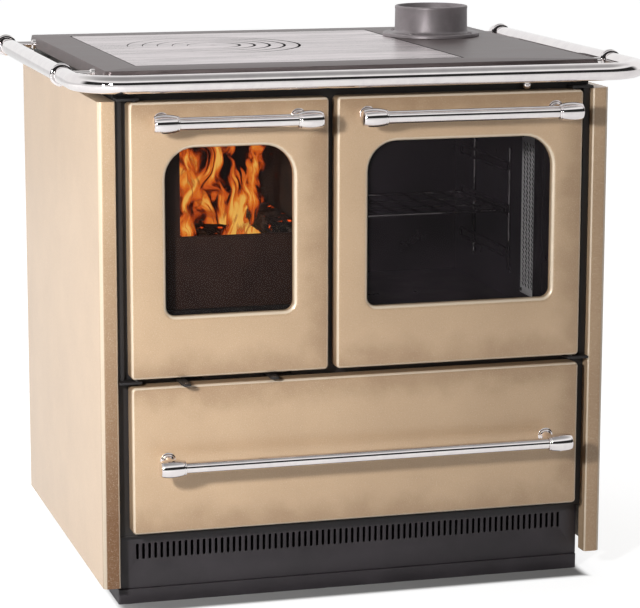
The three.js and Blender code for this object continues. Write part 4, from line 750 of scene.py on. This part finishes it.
def make_rope(node):
    """The seal: a twisted rope round the door's back."""
    low, high, middle = spans(node)
    spacing, swell = 2.5 * MM, 0.07
    outline = framed(low, high, ROPE_RADIUS, 2 * ROPE_RADIUS, steps=6)
    path = []
    for (ax, az), (bx, bz) in zip(outline, outline[1:] + outline[:1]):
        length = hypot(bx - ax, bz - az)
        parts = max(1, round(length / spacing)) if length > 1e-6 else 0
        for share in (k / parts for k in range(parts)):
            path.append((ax + (bx - ax) * share, middle.y, az + (bz - az) * share))
    radius = ROPE_RADIUS / (1 + swell)
    mesh = tube(path, lambda i: radius * (1 + swell * cos(TURN * i / 4)), closed=True)
    stand_in(node, mesh, smooth=60)


def make_drawer():
    """The pressed front, hollow behind its two ends, and the box on its runners."""
    low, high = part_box("drawer_front")
    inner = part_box("drawer_box")[1].x - 13.5 * MM
    rim, depth = 12 * MM, 18 * MM
    hollows = []
    for side in (-1, 1):
        x0, x1 = sorted((side * inner, side * (high.x - rim)))
        hollows.append(box_mesh((x0, high.y - depth, low.z + rim), (x1, high.y + rim, high.z - rim)))
    front = combined(loft(edge_loops(low, high)), hollows, "DIFFERENCE")
    # The drawer front's enamel has painted shade towards its right, top and bottom edges.
    stand_in("drawer_front", front, enamel("enamel_drawer_front", (low, high)))
    soften(0.5 * MM, "drawer_box", "drawer_runner_left", "drawer_runner_right")


# ---- handles

BARREL_LENGTH = 40 * MM
BARREL_WIDEST = 17 * MM
BARREL_RADIUS = 15 * MM
BARREL_TIP = 12.5 * MM
BARREL_MOUTH = 11.7 * MM
POST_FROM_TIP = 24 * MM


def barrel_radius(from_tip):
    """The barrel swells from its tip to its widest place and draws in again to its mouth."""
    before = from_tip < BARREL_WIDEST
    end = BARREL_TIP if before else BARREL_MOUTH
    reach = BARREL_WIDEST if before else BARREL_LENGTH - BARREL_WIDEST
    return BARREL_RADIUS - (BARREL_RADIUS - end) * ((from_tip - BARREL_WIDEST) / reach) ** 2


def make_handle_end(node, bar_radius, direction):
    """A turned barrel with a rim at its mouth, on a post that stands on a stepped rosette."""
    low, high, middle = spans(node)
    tip = low.x if direction > 0 else high.x
    axis_y = low.y + BARREL_RADIUS
    bore = bar_radius + SEAT
    steps, rim, groove, tip_round = 20, 0.9 * MM, 0.5 * MM, 1.2 * MM
    start, end = 2.2 * MM, BARREL_LENGTH - 3.4 * MM
    profile = [(barrel_radius(0) - tip_round * (1 - s), tip_round * (1 - c)) for s, c in quarter(4)]
    profile.append((barrel_radius(start) - groove, start - 0.5 * MM))
    profile += [(barrel_radius(h), h) for h in (start + (end - start) * i / steps for i in range(steps + 1))]
    profile += [
        (barrel_radius(end) - groove, end + 0.4 * MM),
        (BARREL_MOUTH + rim * 0.4, end + 0.9 * MM),
        (BARREL_MOUTH + rim * 0.8, end + 1.8 * MM),
        (BARREL_MOUTH + rim * 0.4, BARREL_LENGTH - 0.5 * MM),
        (BARREL_MOUTH - rim * 0.2, BARREL_LENGTH),
        (bore, BARREL_LENGTH),
        (bore, BARREL_LENGTH - 28 * MM),
    ]
    barrel = turned(profile, "X" if direction > 0 else "-X", (tip, axis_y, middle.z), 48)
    post, base = 7.2 * MM, 12.5 * MM
    reach = high.y - (axis_y + BARREL_RADIUS - 4 * MM)
    rosette = ((0, 0), (0, 1.6), (0.8, 2.4), (2.2, 2.6), (2.6, 3.6), (3.4, 4.6))
    foot = [(base - inset * MM, height * MM) for inset, height in rosette]
    foot += [(post + 0.6 * MM, 5 * MM), (post, 7 * MM), (post * 0.92, reach * 0.5), (post, reach)]
    stem = turned(foot, "-Y", (tip + direction * POST_FROM_TIP, high.y, middle.z), 40)
    stand_in(node, combined(barrel, [stem], "UNION"), smooth=40)


def make_handle(prefix):
    low, high, middle = spans(f"{prefix}_bar")
    radius = (high.z - low.z) / 2
    bar = turned([(radius, 0), (radius, high.x - low.x)], "X", (low.x, middle.y, middle.z), BAR_SIDES)
    stand_in(f"{prefix}_bar", bar)
    make_handle_end(f"{prefix}_end_left", radius, 1)
    make_handle_end(f"{prefix}_end_right", radius, -1)


# ---- cast top

TOP_FLARE = 4 * MM
TOP_CORNER = 4 * MM
TOP_EDGE_ROUND = 1.8 * MM
HOB_CLEARANCE = 0.8 * MM
HOB_LEDGE = 10 * MM
HOB_CHAMFER = 0.6 * MM
RING_LAP = 5 * MM
TOP_STEPS = 24


def make_top_frame():
    """The cast frame: an edge that leans out to its foot, a step for the hob plate and a flue hole."""
    low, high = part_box("top_frame")
    hob_low, hob_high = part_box("hob_plate")
    flue = spans("flue_collar")[2]

    def outer(inset, z):
        return at_z(framed(low, high, inset, TOP_CORNER + 2 * TOP_FLARE - inset, up="y"), z)

    def inner(grow, z):
        return at_z(framed(hob_low, hob_high, -grow, 3 * MM, up="y"), z)

    loops = [outer(0.6 * MM, low.z), outer(0.1 * MM, low.z + 0.5 * MM)]
    for s, c in quarter():
        loops.append(outer(TOP_FLARE - TOP_EDGE_ROUND * c * 0.5, high.z - TOP_EDGE_ROUND * (1 - s)))
    rebate = hob_low.z - SEAT
    loops += [inner(HOB_CLEARANCE + HOB_CHAMFER, high.z), inner(HOB_CLEARANCE, high.z - HOB_CHAMFER)]
    loops += [inner(HOB_CLEARANCE, rebate), inner(-HOB_LEDGE, rebate), inner(-HOB_LEDGE, low.z)]
    spare = 5 * MM
    hole = turned([(FLUE_BORE, low.z - spare), (FLUE_BORE, high.z + spare)], "Z", (flue.x, flue.y, 0))
    stand_in("top_frame", combined(loft(loops, ring=True), [hole], "DIFFERENCE"))


def make_hob():
    """The plate with its stepped opening, four rings and a disc, each resting on the one outside it."""
    low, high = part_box("hob_plate")
    middle = spans("hob_ring_1")[2]
    place = (middle.x, middle.y, 0)
    step = (low.z + high.z) / 2
    chamfer = high.z - HOB_CHAMFER

    def outer(inset, z):
        return at_z(framed(low, high, inset, 2.5 * MM - inset, steps=TOP_STEPS, up="y"), z)

    def carries(r):
        """An opening's side from the top down, with the ledge that the next piece rests on."""
        ledge = r - RING_LAP
        return [(r + HOB_CHAMFER, high.z), (r, chamfer), (r, step), (ledge, step), (ledge, low.z)]

    def rests(r):
        """A piece's outer side from the bottom up, with the lip that rests on that ledge."""
        foot, seat = r - RING_LAP, step + SEAT
        return [(foot, low.z), (foot, seat), (r, seat), (r, chamfer), (r - HOB_CHAMFER, high.z)]

    loops = [outer(0, low.z), outer(0, chamfer), outer(HOB_CHAMFER, high.z)]
    for r, z in carries(HOB_OPENING):
        loops.append(at_z(slot_outline(middle.x, middle.y, 2 * r, 2 * r, TOP_STEPS), z))
    stand_in("hob_plate", loft(loops, ring=True))
    for i in range(4):
        outer_radius = HOB_OPENING - i * RING_STEP - RING_GAP
        inner_radius = HOB_OPENING - (i + 1) * RING_STEP
        profile = carries(inner_radius) + rests(outer_radius)
        stand_in(f"hob_ring_{i + 1}", turned(profile, "Z", place, 160, ring=True))
    dimple, round_off, depth = 6 * MM, 0.6 * MM, 4 * MM
    profile = rests(HOB_OPENING - 4 * RING_STEP - RING_GAP)
    profile += [(dimple + round_off, high.z), (dimple, high.z - round_off)]
    profile += [(dimple * 0.9, high.z - depth * 0.7), (dimple * 0.6, high.z - depth)]
    stand_in("hob_disc", turned(profile, "Z", place, 96))


def make_flue():
    """The collar: a flange with a rounded edge, a fillet, and a spigot with a slightly rolled rim."""
    low, high, middle = spans("flue_collar")
    flange = (high.x - low.x) / 2
    outer, edge, fillet, roll = 64.5 * MM, 2 * MM, 5 * MM, 2.2 * MM
    top = low.z + 6 * MM
    profile = [(FLUE_BORE, low.z), (flange - 0.5 * MM, low.z), (flange, low.z + 0.5 * MM)]
    profile += [(flange - edge * (1 - c), top - edge * (1 - s)) for s, c in quarter(4)]
    profile += [(outer + fillet * (1 - s), top + fillet * (1 - c)) for s, c in quarter(5)]
    profile += [(outer - 0.5 * MM, high.z - 3 * roll), (outer, high.z - 2 * roll)]
    profile += [(outer - roll * (1 - c), high.z - roll * (1 - s)) for s, c in quarter(4)]
    profile += [(FLUE_BORE + 0.6 * MM, high.z), (FLUE_BORE, high.z - 0.8 * MM)]
    stand_in("flue_collar", turned(profile, "Z", (middle.x, middle.y, 0), ring=True), smooth=38)
    places = [(x, y, top) for x, y in arc(middle.x, middle.y, 76.5 * MM, 45, 315, 3)]
    screws("flue_screws", "root", places, "Z", 4.5 * MM, 2.6 * MM, "flue_iron")


# ---- rail

RAIL_RADIUS = 14 * MM
RAIL_BEND = 76 * MM
RAIL_CAP = 7 * MM


def make_rail():
    """One bent tube. Its two ends close like half round buttons."""
    low, high, middle = spans("hand_rail")
    x = high.x - RAIL_RADIUS
    y = low.y + RAIL_RADIUS + RAIL_BEND
    bend, steps = 20, 8
    caps = [high.y - RAIL_CAP * (1 - c) for s, c in quarter(steps)]
    path = [(-x, back) for back in caps]
    path += arc(-x + RAIL_BEND, y, RAIL_BEND, 180, 270, bend)
    path += arc(x - RAIL_BEND, y, RAIL_BEND, 270, 360, bend)
    path += [(x, back) for back in reversed(caps)]
    last = len(path) - 1

    def radius(i):
        share = min(i, last - i, steps) / steps
        return RAIL_RADIUS - RAIL_CAP * (1 - sin(pi / 2 * share))

    stand_in("hand_rail", tube(at_z(path, middle.z), radius, 48))


def make_bracket(node):
    """A collar round the rail with two beads, and an arm with a foot in the cast frame."""
    low, _, middle = spans(node)
    _, rail_high, rail_middle = spans("hand_rail")
    side = -1 if low.x < 0 else 1
    x = side * (rail_high.x - RAIL_RADIUS)
    half, wall = 7 * MM, 4.5 * MM
    bore = RAIL_RADIUS + 0.05 * MM
    bead = ((0, 0), (0.55, 0), (0.8, 0.8), (0.62, 2.2), (0.95, 3.6))
    front = [(bore + wall * share, along * MM - half) for share, along in bead]
    profile = [*front, (bore + wall, 0), *((r, -along) for r, along in reversed(front))]
    collar = turned(profile, "Y", (x, middle.y, rail_middle.z), 48, ring=True)
    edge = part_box("top_frame")[1].x - 2.2 * MM
    length = abs(x) - bore - edge - wall * 0.4
    foot, arm = 8 * MM, 5.6 * MM
    profile = [(foot, 0), (foot, 6 * MM), (foot - 1.4 * MM, 7.4 * MM), (arm, 8.2 * MM)]
    profile += [(arm, length * 0.8), (arm + 0.6 * MM, length)]
    stem = turned(profile, "X" if side > 0 else "-X", (side * edge, middle.y, rail_middle.z), 32)
    stand_in(node, combined(collar, [stem], "UNION"), smooth=40)


# ---- controls


def make_controls():
    """The bypass knob, the air registers with a bright rivet on each tab, and the hinge strips."""
    low, high, middle = spans("bypass_knob")
    radius = (high.x - low.x) / 2
    length = high.y - low.y
    place = (middle.x, high.y, middle.z)
    neck, bore = 5.3 * MM, 3.3 * MM
    ball = arc(0, length - radius, radius, -48, 84, 14)
    profile = [(neck - 0.4 * MM, 0), (neck, 0.8 * MM), *ball, (radius * 0.05, length)]
    hole = turned([(bore, -1 * MM), (bore, length * 0.6)], "-Y", place, 24)
    stand_in("bypass_knob", combined(turned(profile, "-Y", place, 40), [hole], "DIFFERENCE"), smooth=45)
    for node in ("primary_air_slide", "secondary_air_slide"):
        soften(0.7 * MM, node)
        low, _, middle = spans(node)
        rivet = (middle.x, low.y + 7 * MM, middle.z + 1.75 * MM)
        screws(f"{node}_rivet", BODY_OF[node], [rivet], "Z", 2.6 * MM, 1 * MM)
    soften(0.6 * MM, "fire_door_hinge", "oven_door_hinge")


# ---- oven furniture

RACK_WIRE = 2.5 * MM
RACK_POST = 3 * MM
RACK_LEVEL = 75 * MM
RACK_PAIR = 15 * MM
RACK_OVERHANG = 24 * MM


def make_rack(node, inward):
    """A ladder of bent wire on the oven's side wall: two posts on studs and a long loop at each level."""
    low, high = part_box(node)
    wall = low.x if inward > 0 else high.x
    post_x = wall + inward * (1.2 * MM + RACK_POST)
    wire_x = post_x + inward * (RACK_POST + RACK_WIRE - 0.8 * MM)
    parts = []
    for y in (low.y + 9 * MM, high.y - 60 * MM):
        parts.append(tube([(post_x, y, low.z), (post_x, y, high.z)], RACK_POST))
        for z in (low.z + 8 * MM, high.z - 8 * MM):
            parts.append(tube([(wall, y, z), (post_x, y, z)], 2.4 * MM))
    level = low.z + RACK_OVERHANG
    while level < high.z - RACK_OVERHANG:
        loop = rounded(low.y + RACK_WIRE, high.y - RACK_WIRE, level, level + RACK_PAIR, 5 * MM, steps=5)
        parts.append(tube([(wire_x, y, z) for y, z in loop], RACK_WIRE, closed=True))
        level += RACK_LEVEL
    stand_in(node, merged(parts))


def make_shelf():
    """A wire shelf: a rim, wires from front to back, and two crossways under them."""
    low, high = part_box("oven_shelf")
    r = 3 * MM
    x0, x1, y0, y1, z = low.x + r, high.x - r, low.y + r, high.y - r, high.z - r
    parts = [tube(at_z(framed(low, high, r, 9 * MM, steps=6, up="y"), z), r, closed=True)]
    wires = 8
    for i in range(wires):
        x = x0 + (x1 - x0) * (i + 1) / (wires + 1)
        parts.append(tube([(x, y, z + 0.5 * MM) for y in (y0, y1)], 2 * MM))
    for y in (y0 + (y1 - y0) / 3, y0 + (y1 - y0) * 2 / 3):
        parts.append(tube([(x, y, z - 1 * MM) for x in (x0, x1)], 1.8 * MM))
    stand_in("oven_shelf", merged(parts))


def strip_steel(pierced_from):
    """Steel that is pale on the face of its pierced part and dark elsewhere: its plain front part is
    enamelled, the slots' walls are dark as painted shade, and the face's near white is partly a painted
    highlight.
    """
    look = Look("strip_steel")
    x, y, _ = look.axes()
    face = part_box("oven_vent_strip")[0].x + 0.5 * MM
    pierced = look.spread(y, pierced_from - 1 * MM, pierced_from + 1 * MM)
    # Painted shade: only the pierced face is pale, so the slots' walls stay dark.
    pale_face_over_painted_slot_shade = look.times(pierced, look.spread(x, face, face + 0.3 * MM, 1, 0))
    cloud = look.noise(40, 3)
    # Near white metal: partly its own colour, partly a painted highlight.
    pale_metal_and_painted_highlight = look.blend(look.spread(cloud, 0.3, 0.7), "FFFCFC", "EDE9E9")
    return look.surface(
        Base_Color=look.blend(pale_face_over_painted_slot_shade, "1C181B", pale_metal_and_painted_highlight), Normal=look.bump(cloud, 0.02 * MM),
        Roughness=look.spread(cloud, 0.3, 0.7, 0.34, 0.46),
    )


def make_vent_strip():
    """A strip with columns of slanting slots, screwed to the oven's right wall. Its front is plain."""
    low, high, middle = spans("oven_vent_strip")
    columns, pitch, border, blank, margin = 4, 8 * MM, 12 * MM, 38 * MM, 5 * MM
    slot = slot_outline(0, 0, 11.5 * MM, 4.7 * MM, steps=2)
    slant = radians(40)
    c, s = cos(slant), sin(slant)
    spacing = (high.y - low.y - blank - margin) / columns
    holes = []
    for row in range(int((high.z - low.z - 2 * border) / pitch)):
        z = low.z + border + pitch * (row + 0.5)
        for column in range(columns):
            y = low.y + blank + spacing * (column + 0.5)
            holes.append([(y + u * c - v * s, z + u * s + v * c) for u, v in slot])
    outline = rounded(low.y, high.y, low.z, high.z, 2 * MM, steps=2)
    flat = Matrix(((0, 0, 1, middle.x), (1, 0, 0, 0), (0, 1, 0, 0), (0, 0, 0, 1)))
    sheet = sheet_with_holes(outline, holes, high.x - low.x, 0.3 * MM, flat)
    stand_in("oven_vent_strip", sheet, strip_steel(low.y + blank))
    inset = 6 * MM
    places = [(low.x, y, z) for y in (low.y + inset, high.y - inset) for z in (low.z + inset, high.z - inset)]
    screws("oven_strip_screws", "root", places, "-X", 3.4 * MM, 1.8 * MM)


# ---- firebox and fire

FIRE_LOW, FIRE_HIGH, FIRE_MIDDLE = spans("fire_grate")
FLAME_MIDDLE = FIRE_MIDDLE.x + 16 * MM
FLAME_HALF = (FIRE_HIGH.x - FIRE_LOW.x) / 2 - 20 * MM
FLAME_FOOT = FIRE_HIGH.z + 30 * MM
FLAME_TIP = FIRE_HIGH.z + 290 * MM


def make_firebox():
    soften(2.5 * MM, "firebox_lining_left", "firebox_lining_right", "firebox_lining_back", segments=3)
    soften(1.2 * MM, "fire_grate")
    soften(1.5 * MM, "log_guard", material=GUARD_LOOK)
    soften(0.6 * MM, "ash_pan")


def bark(name="burning_wood"):
    """Charred wood: split bark over glowing cracks."""
    look = Look(name)
    split = look.cells(95, stretch=(0.45, 1, 1))
    ash = look.noise(60, 5, 0.7)
    glow = look.spread(look.plus(split, look.spread(ash, 0.3, 0.7, -0.25, 0.25)), 0.16, 0)
    return look.surface(
        Base_Color=look.blend(look.spread(ash, 0.5, 0.7), "17100C", "6A5A4E"), Roughness=0.9,
        Normal=look.bump(look.plus(split, ash), 2 * MM),
        Emission_Color=look.blend(glow, grey(0), "FF5A14"), Emission_Strength=1.6,
    )


def log_mesh(start, end, radius, seed):
    """A split log: an uneven round with one flattened side, its bark rough."""
    draw = random.Random(seed)
    start, end = Vector(start), Vector(end)
    steps, sides = 26, 22
    phases = [draw.uniform(0, TURN) for _ in range(4)]
    along = (end - start).normalized()
    across = along.orthogonal().normalized()
    other = along.cross(across)
    flat_side = draw.uniform(0, TURN)
    loops = []
    for i in range(steps + 1):
        share = i / steps
        centre = start.lerp(end, share) + across * 0.05 * radius * sin(pi * share + phases[0])
        end_round = min(1, 0.86 + 0.14 * min(i, steps - i) / 2)
        loop = []
        for k in range(sides):
            a = TURN * k / sides
            wobble = 1 + 0.06 * sin(3 * a + phases[1] + 2 * share) + 0.04 * sin(7 * a + phases[2])
            wobble += 0.03 * sin(11 * a + 9 * share + phases[3]) + draw.uniform(-0.02, 0.02)
            flat = min(1, 0.72 / max(0.72, cos(a - flat_side)))
            size = radius * wobble * flat * end_round
            loop.append(tuple(centre + size * (across * cos(a) + other * sin(a))))
        loops.append(loop)
    return loft(loops)


def flame_look(name):
    """Burning gas: bright threads that rise and fray, clear between them."""
    look = Look(name)
    x, y, z = look.axes()
    sway = look.spread(look.noise(13, stretch=(1, 1, 0.8)), 0.25, 0.75, -0.030, 0.030)
    moved = look.add("ShaderNodeCombineXYZ", {0: look.plus(x, sway), 1: y, 2: z}).outputs[0]
    threads = look.noise(40, 5, 0.58, (1, 1, 0.26), 1, place=moved)
    ridge = look.minus(1, look.off(look.spread(threads, 0.32, 0.68, -1, 1)))
    body = look.noise(21, stretch=(1, 1, 0.38), shift=(3, 1, 5), place=moved)
    height = look.spread(z, FLAME_FOOT, FLAME_TIP)
    tongue = look.spread(body, 0.46, 0.68, -0.15, 0.95)
    fade = look.minus(look.plus(tongue, 0.36), look.times(height, 0.42))
    reach = look.spread(height, 0.2, 1, FLAME_HALF, FLAME_HALF * 0.82)
    sides = look.spread(look.minus(reach, look.off(x, FLAME_MIDDLE)), 0, 26 * MM, smooth=True)
    heat = look.times(look.times(fade, sides), look.spread(ridge, 0, 1, 0.25, 1.1))
    stops = ((0.20, "3A0D03"), (0.34, "8E2C0C"), (0.50, "D2561A"), (0.74, "F0862A"), (0.96, "FFC05A"))
    return look.surface(
        Base_Color=grey(0), Roughness=1, Specular_IOR_Level=0,
        Emission_Color=look.ramp(heat, [(place, rgb(code)) for place, code in stops]),
        Emission_Strength=1.25, Alpha=look.spread(heat, 0.22, 0.50, 0, 0.95, smooth=True),
    )


def flame_sheet(y, seed):
    """A waving curtain across the firebox that the flames are seen on."""
    columns, rows = 28, 18
    phase = random.Random(seed).uniform(0, TURN)
    vertices = []
    for v in (row / rows for row in range(rows + 1)):
        for u in (column / columns for column in range(columns + 1)):
            top = FLAME_TIP - 12 * MM * (0.5 + 0.5 * sin(9 * u + phase))
            bend = 9 * MM * sin(7 * u + phase) + 6 * MM * sin(5 * v + 2 * phase)
            x = FLAME_MIDDLE + FLAME_HALF * (2 * u - 1)
            vertices.append((x, y + bend, FLAME_FOOT + (top - FLAME_FOOT) * v))
    faces = []
    for row in range(rows):
        for column in range(columns):
            a = row * (columns + 1) + column
            faces.append((a, a + 1, a + columns + 2, a + columns + 1))
    mesh = bpy.data.meshes.new("flames")
    mesh.from_pydata(vertices, [], faces)
    return mesh


def make_fire():
    """Logs on the grate, their embers, and flames above them."""
    left, right, top = FIRE_LOW.x, FIRE_HIGH.x, FIRE_HIGH.z + 1 * MM
    logs = (
        ((left + 45 * MM, -0.10, top + 34 * MM), (right - 30 * MM, -0.13, top + 36 * MM), 33 * MM),
        ((left + 30 * MM, 0.02, top + 37 * MM), (right - 40 * MM, 0.06, top + 36 * MM), 35 * MM),
        ((right - 26 * MM, -0.21, top + 96 * MM), (right - 36 * MM, 0.13, top + 104 * MM), 23 * MM),
        ((left + 60 * MM, -0.17, top + 78 * MM), (left + 105 * MM, 0.12, top + 92 * MM), 26 * MM),
    )
    wood = bark()
    for i, (start, end, radius) in enumerate(logs):
        piece(f"log_{i + 1}", log_mesh(start, end, radius, i), "root", "refractory", wood, smooth=60)
    flames = flame_look("flames")
    for i, y in enumerate((-0.17, -0.07, 0.05)):
        piece(f"flames_{i + 1}", flame_sheet(y, i), "root", "refractory", flames, smooth=180)


# ---- studio

CAMERA_PLACE = Vector((-1.196, -4.259, 1.265))
CAMERA_YAW = radians(15.93)  # turned to the right of +Y
CAMERA_PITCH = radians(10.78)  # downwards
CAMERA_ROLL = radians(-0.10)
CAMERA_LENS = 147.8
FLOOR_REACH = 60
SWEEP_REACH = 3
MIRRORED_SHARE = 0.72
WORLD_LIGHT = 0.08


def make_camera():
    data = bpy.data.cameras.new("camera")
    data.lens = CAMERA_LENS
    data.sensor_width = 36
    data.clip_end = 200
    across, ahead = sin(CAMERA_YAW), cos(CAMERA_YAW)
    drop = cos(CAMERA_PITCH)
    forward = Vector((across * drop, ahead * drop, -sin(CAMERA_PITCH)))
    right = Matrix.Rotation(CAMERA_ROLL, 3, forward) @ Vector((ahead, -across, 0))
    turn = Matrix((right, right.cross(forward), -forward)).transposed().to_4x4()
    camera = linked("camera", data)
    camera.matrix_world = Matrix.Translation(CAMERA_PLACE) @ turn
    bpy.context.scene.camera = camera


def make_lamp(name, place, aim, size, power, mirrored=False, cone=None):
    """An area lamp, or a soft spot with a cone of so many degrees. mirrored says whether bright metal
    shows it."""
    if cone:
        data = bpy.data.lights.new(name, "SPOT")
        data.spot_size = radians(cone)
        data.spot_blend = 1
        data.shadow_soft_size = size[0] / 2
    else:
        data = bpy.data.lights.new(name, "AREA")
        data.shape = "RECTANGLE"
        data.size, data.size_y = size
    data.energy = power
    lamp = linked(name, data)
    lamp.visible_glossy = mirrored
    lamp.location = place
    lamp.rotation_euler = (Vector(aim) - Vector(place)).to_track_quat("-Z", "Y").to_euler()


def make_floor():
    """A pale floor. What the camera sees of it is lifted to white, but not under the stove, and far in
    front it is dark, as a room is beyond the studio's sweep."""
    look = Look("pale_floor")
    _, high, middle = spans("base_frame")
    clear = look.spread(beyond(look, middle, high), -8 * MM, 12 * MM, smooth=True)
    ahead = look.spread(look.axes()[1], -SWEEP_REACH, -SWEEP_REACH - 1.5, smooth=True)
    rays = look.add("ShaderNodeLightPath").outputs
    seen = look.most(rays["Is Camera Ray"], rays["Is Transmission Ray"])
    seen = look.most(seen, look.times(rays["Is Glossy Ray"], MIRRORED_SHARE))
    reach = look.add("ShaderNodeVectorMath", {0: look.place}, operation="LENGTH").outputs["Value"]
    lift = look.times(look.times(seen, clear), look.most(look.spread(reach, 0.8, 4, 0.86, 0.98), ahead))
    plain_light = look.add("ShaderNodeBsdfDiffuse", {"Color": look.blend(ahead, grey(0.34), grey(0.10))})
    glow = look.add("ShaderNodeEmission", {"Color": grey(1), "Strength": lift})
    look.show(look.add("ShaderNodeAddShader", {0: plain_light.outputs[0], 1: glow.outputs[0]}))
    mesh = bpy.data.meshes.new("floor")
    r = FLOOR_REACH
    mesh.from_pydata([(-r, -r, 0), (r, -r, 0), (r, r, 0), (-r, r, 0)], [], [(0, 1, 2, 3)])
    mesh.materials.append(look.owner)
    linked("floor", mesh)


def make_world():
    """A white studio. Bright metal mirrors a dark room low down on the camera's side, a grey ceiling,
    and white behind."""
    look = Look("studio", world=True)
    _, y, z = look.axes()
    front = ((0, 0.03), (0.47, 0.02), (0.56, 1), (0.70, 0.9), (0.84, 0.4), (1, 0.3))
    behind = ((0, 0.92), (0.6, 0.92), (1, 0.3))
    front, behind = (look.ramp(z, [(up, grey(level)) for up, level in stops]) for stops in (front, behind))
    mirrored = look.blend(look.spread(y, 0.25, -0.10, smooth=True), behind, front)
    rays = look.add("ShaderNodeLightPath").outputs
    plain_light = look.blend(rays["Is Glossy Ray"], grey(WORLD_LIGHT), mirrored)
    seen = look.most(rays["Is Camera Ray"], rays["Is Transmission Ray"])
    colour = look.blend(seen, plain_light, grey(1))
    bpy.context.scene.world = look.show(look.add("ShaderNodeBackground", {"Color": colour}))


def make_studio():
    make_world()
    make_floor()
    make_lamp("key", (-1.50, -2.1, 1.25), (-0.25, -0.3, 0.5), (0.2, 0.2), 46, mirrored=True)
    make_lamp("pool", (-1.50, -2.1, 1.25), (-0.40, -0.3, 0.45), (0.2, 0.2), 62, cone=26)
    make_lamp("edge", (-2.1, -1.9, 0.65), (-0.1, -0.3, 0.45), (0.15, 1.2), 4, mirrored=True)
    make_lamp("side", (-3.4, 0.8, 1.9), (-0.4, 0, 0.7), (1.6, 1.6), 77)
    make_lamp("fill", (3.4, -3, 1.9), (0, -0.1, 0.5), (2.5, 2), 5)
    make_lamp("overhead", (0, 0.9, 3.4), (0, 0, 0.8), (2.6, 2), 42)
    make_lamp("rear", (-1.8, 4.2, 2.4), (0, 0.3, 0.5), (2.5, 2), 45)
    bpy.context.scene.view_settings.view_transform = "Standard"


# ---- assembly


make_camera()

for node, made in frame["nodes"].items():
    made.data.materials.clear()
    made.data.materials.append(MATERIALS[SLOT_OF[node]])
frame["nodes"]["fire_door_glass"].data.materials[0] = FIRE_GLASS

make_side_panel("side_panel_left")
make_side_panel("side_panel_right")
make_plinth()
make_back_panel()
make_door("fire_door")
make_door("oven_door")
make_drawer()
for name in ("fire_handle", "oven_handle", "drawer_handle"):
    make_handle(name)
make_top_frame()
make_hob()
make_flue()
make_rail()
for name in ("front_left", "front_right", "rear_left", "rear_right"):
    make_bracket(f"rail_bracket_{name}")
make_controls()
make_rack("oven_rack_left", 1)
make_rack("oven_rack_right", -1)
make_shelf()
make_vent_strip()
make_firebox()
make_fire()
make_studio()
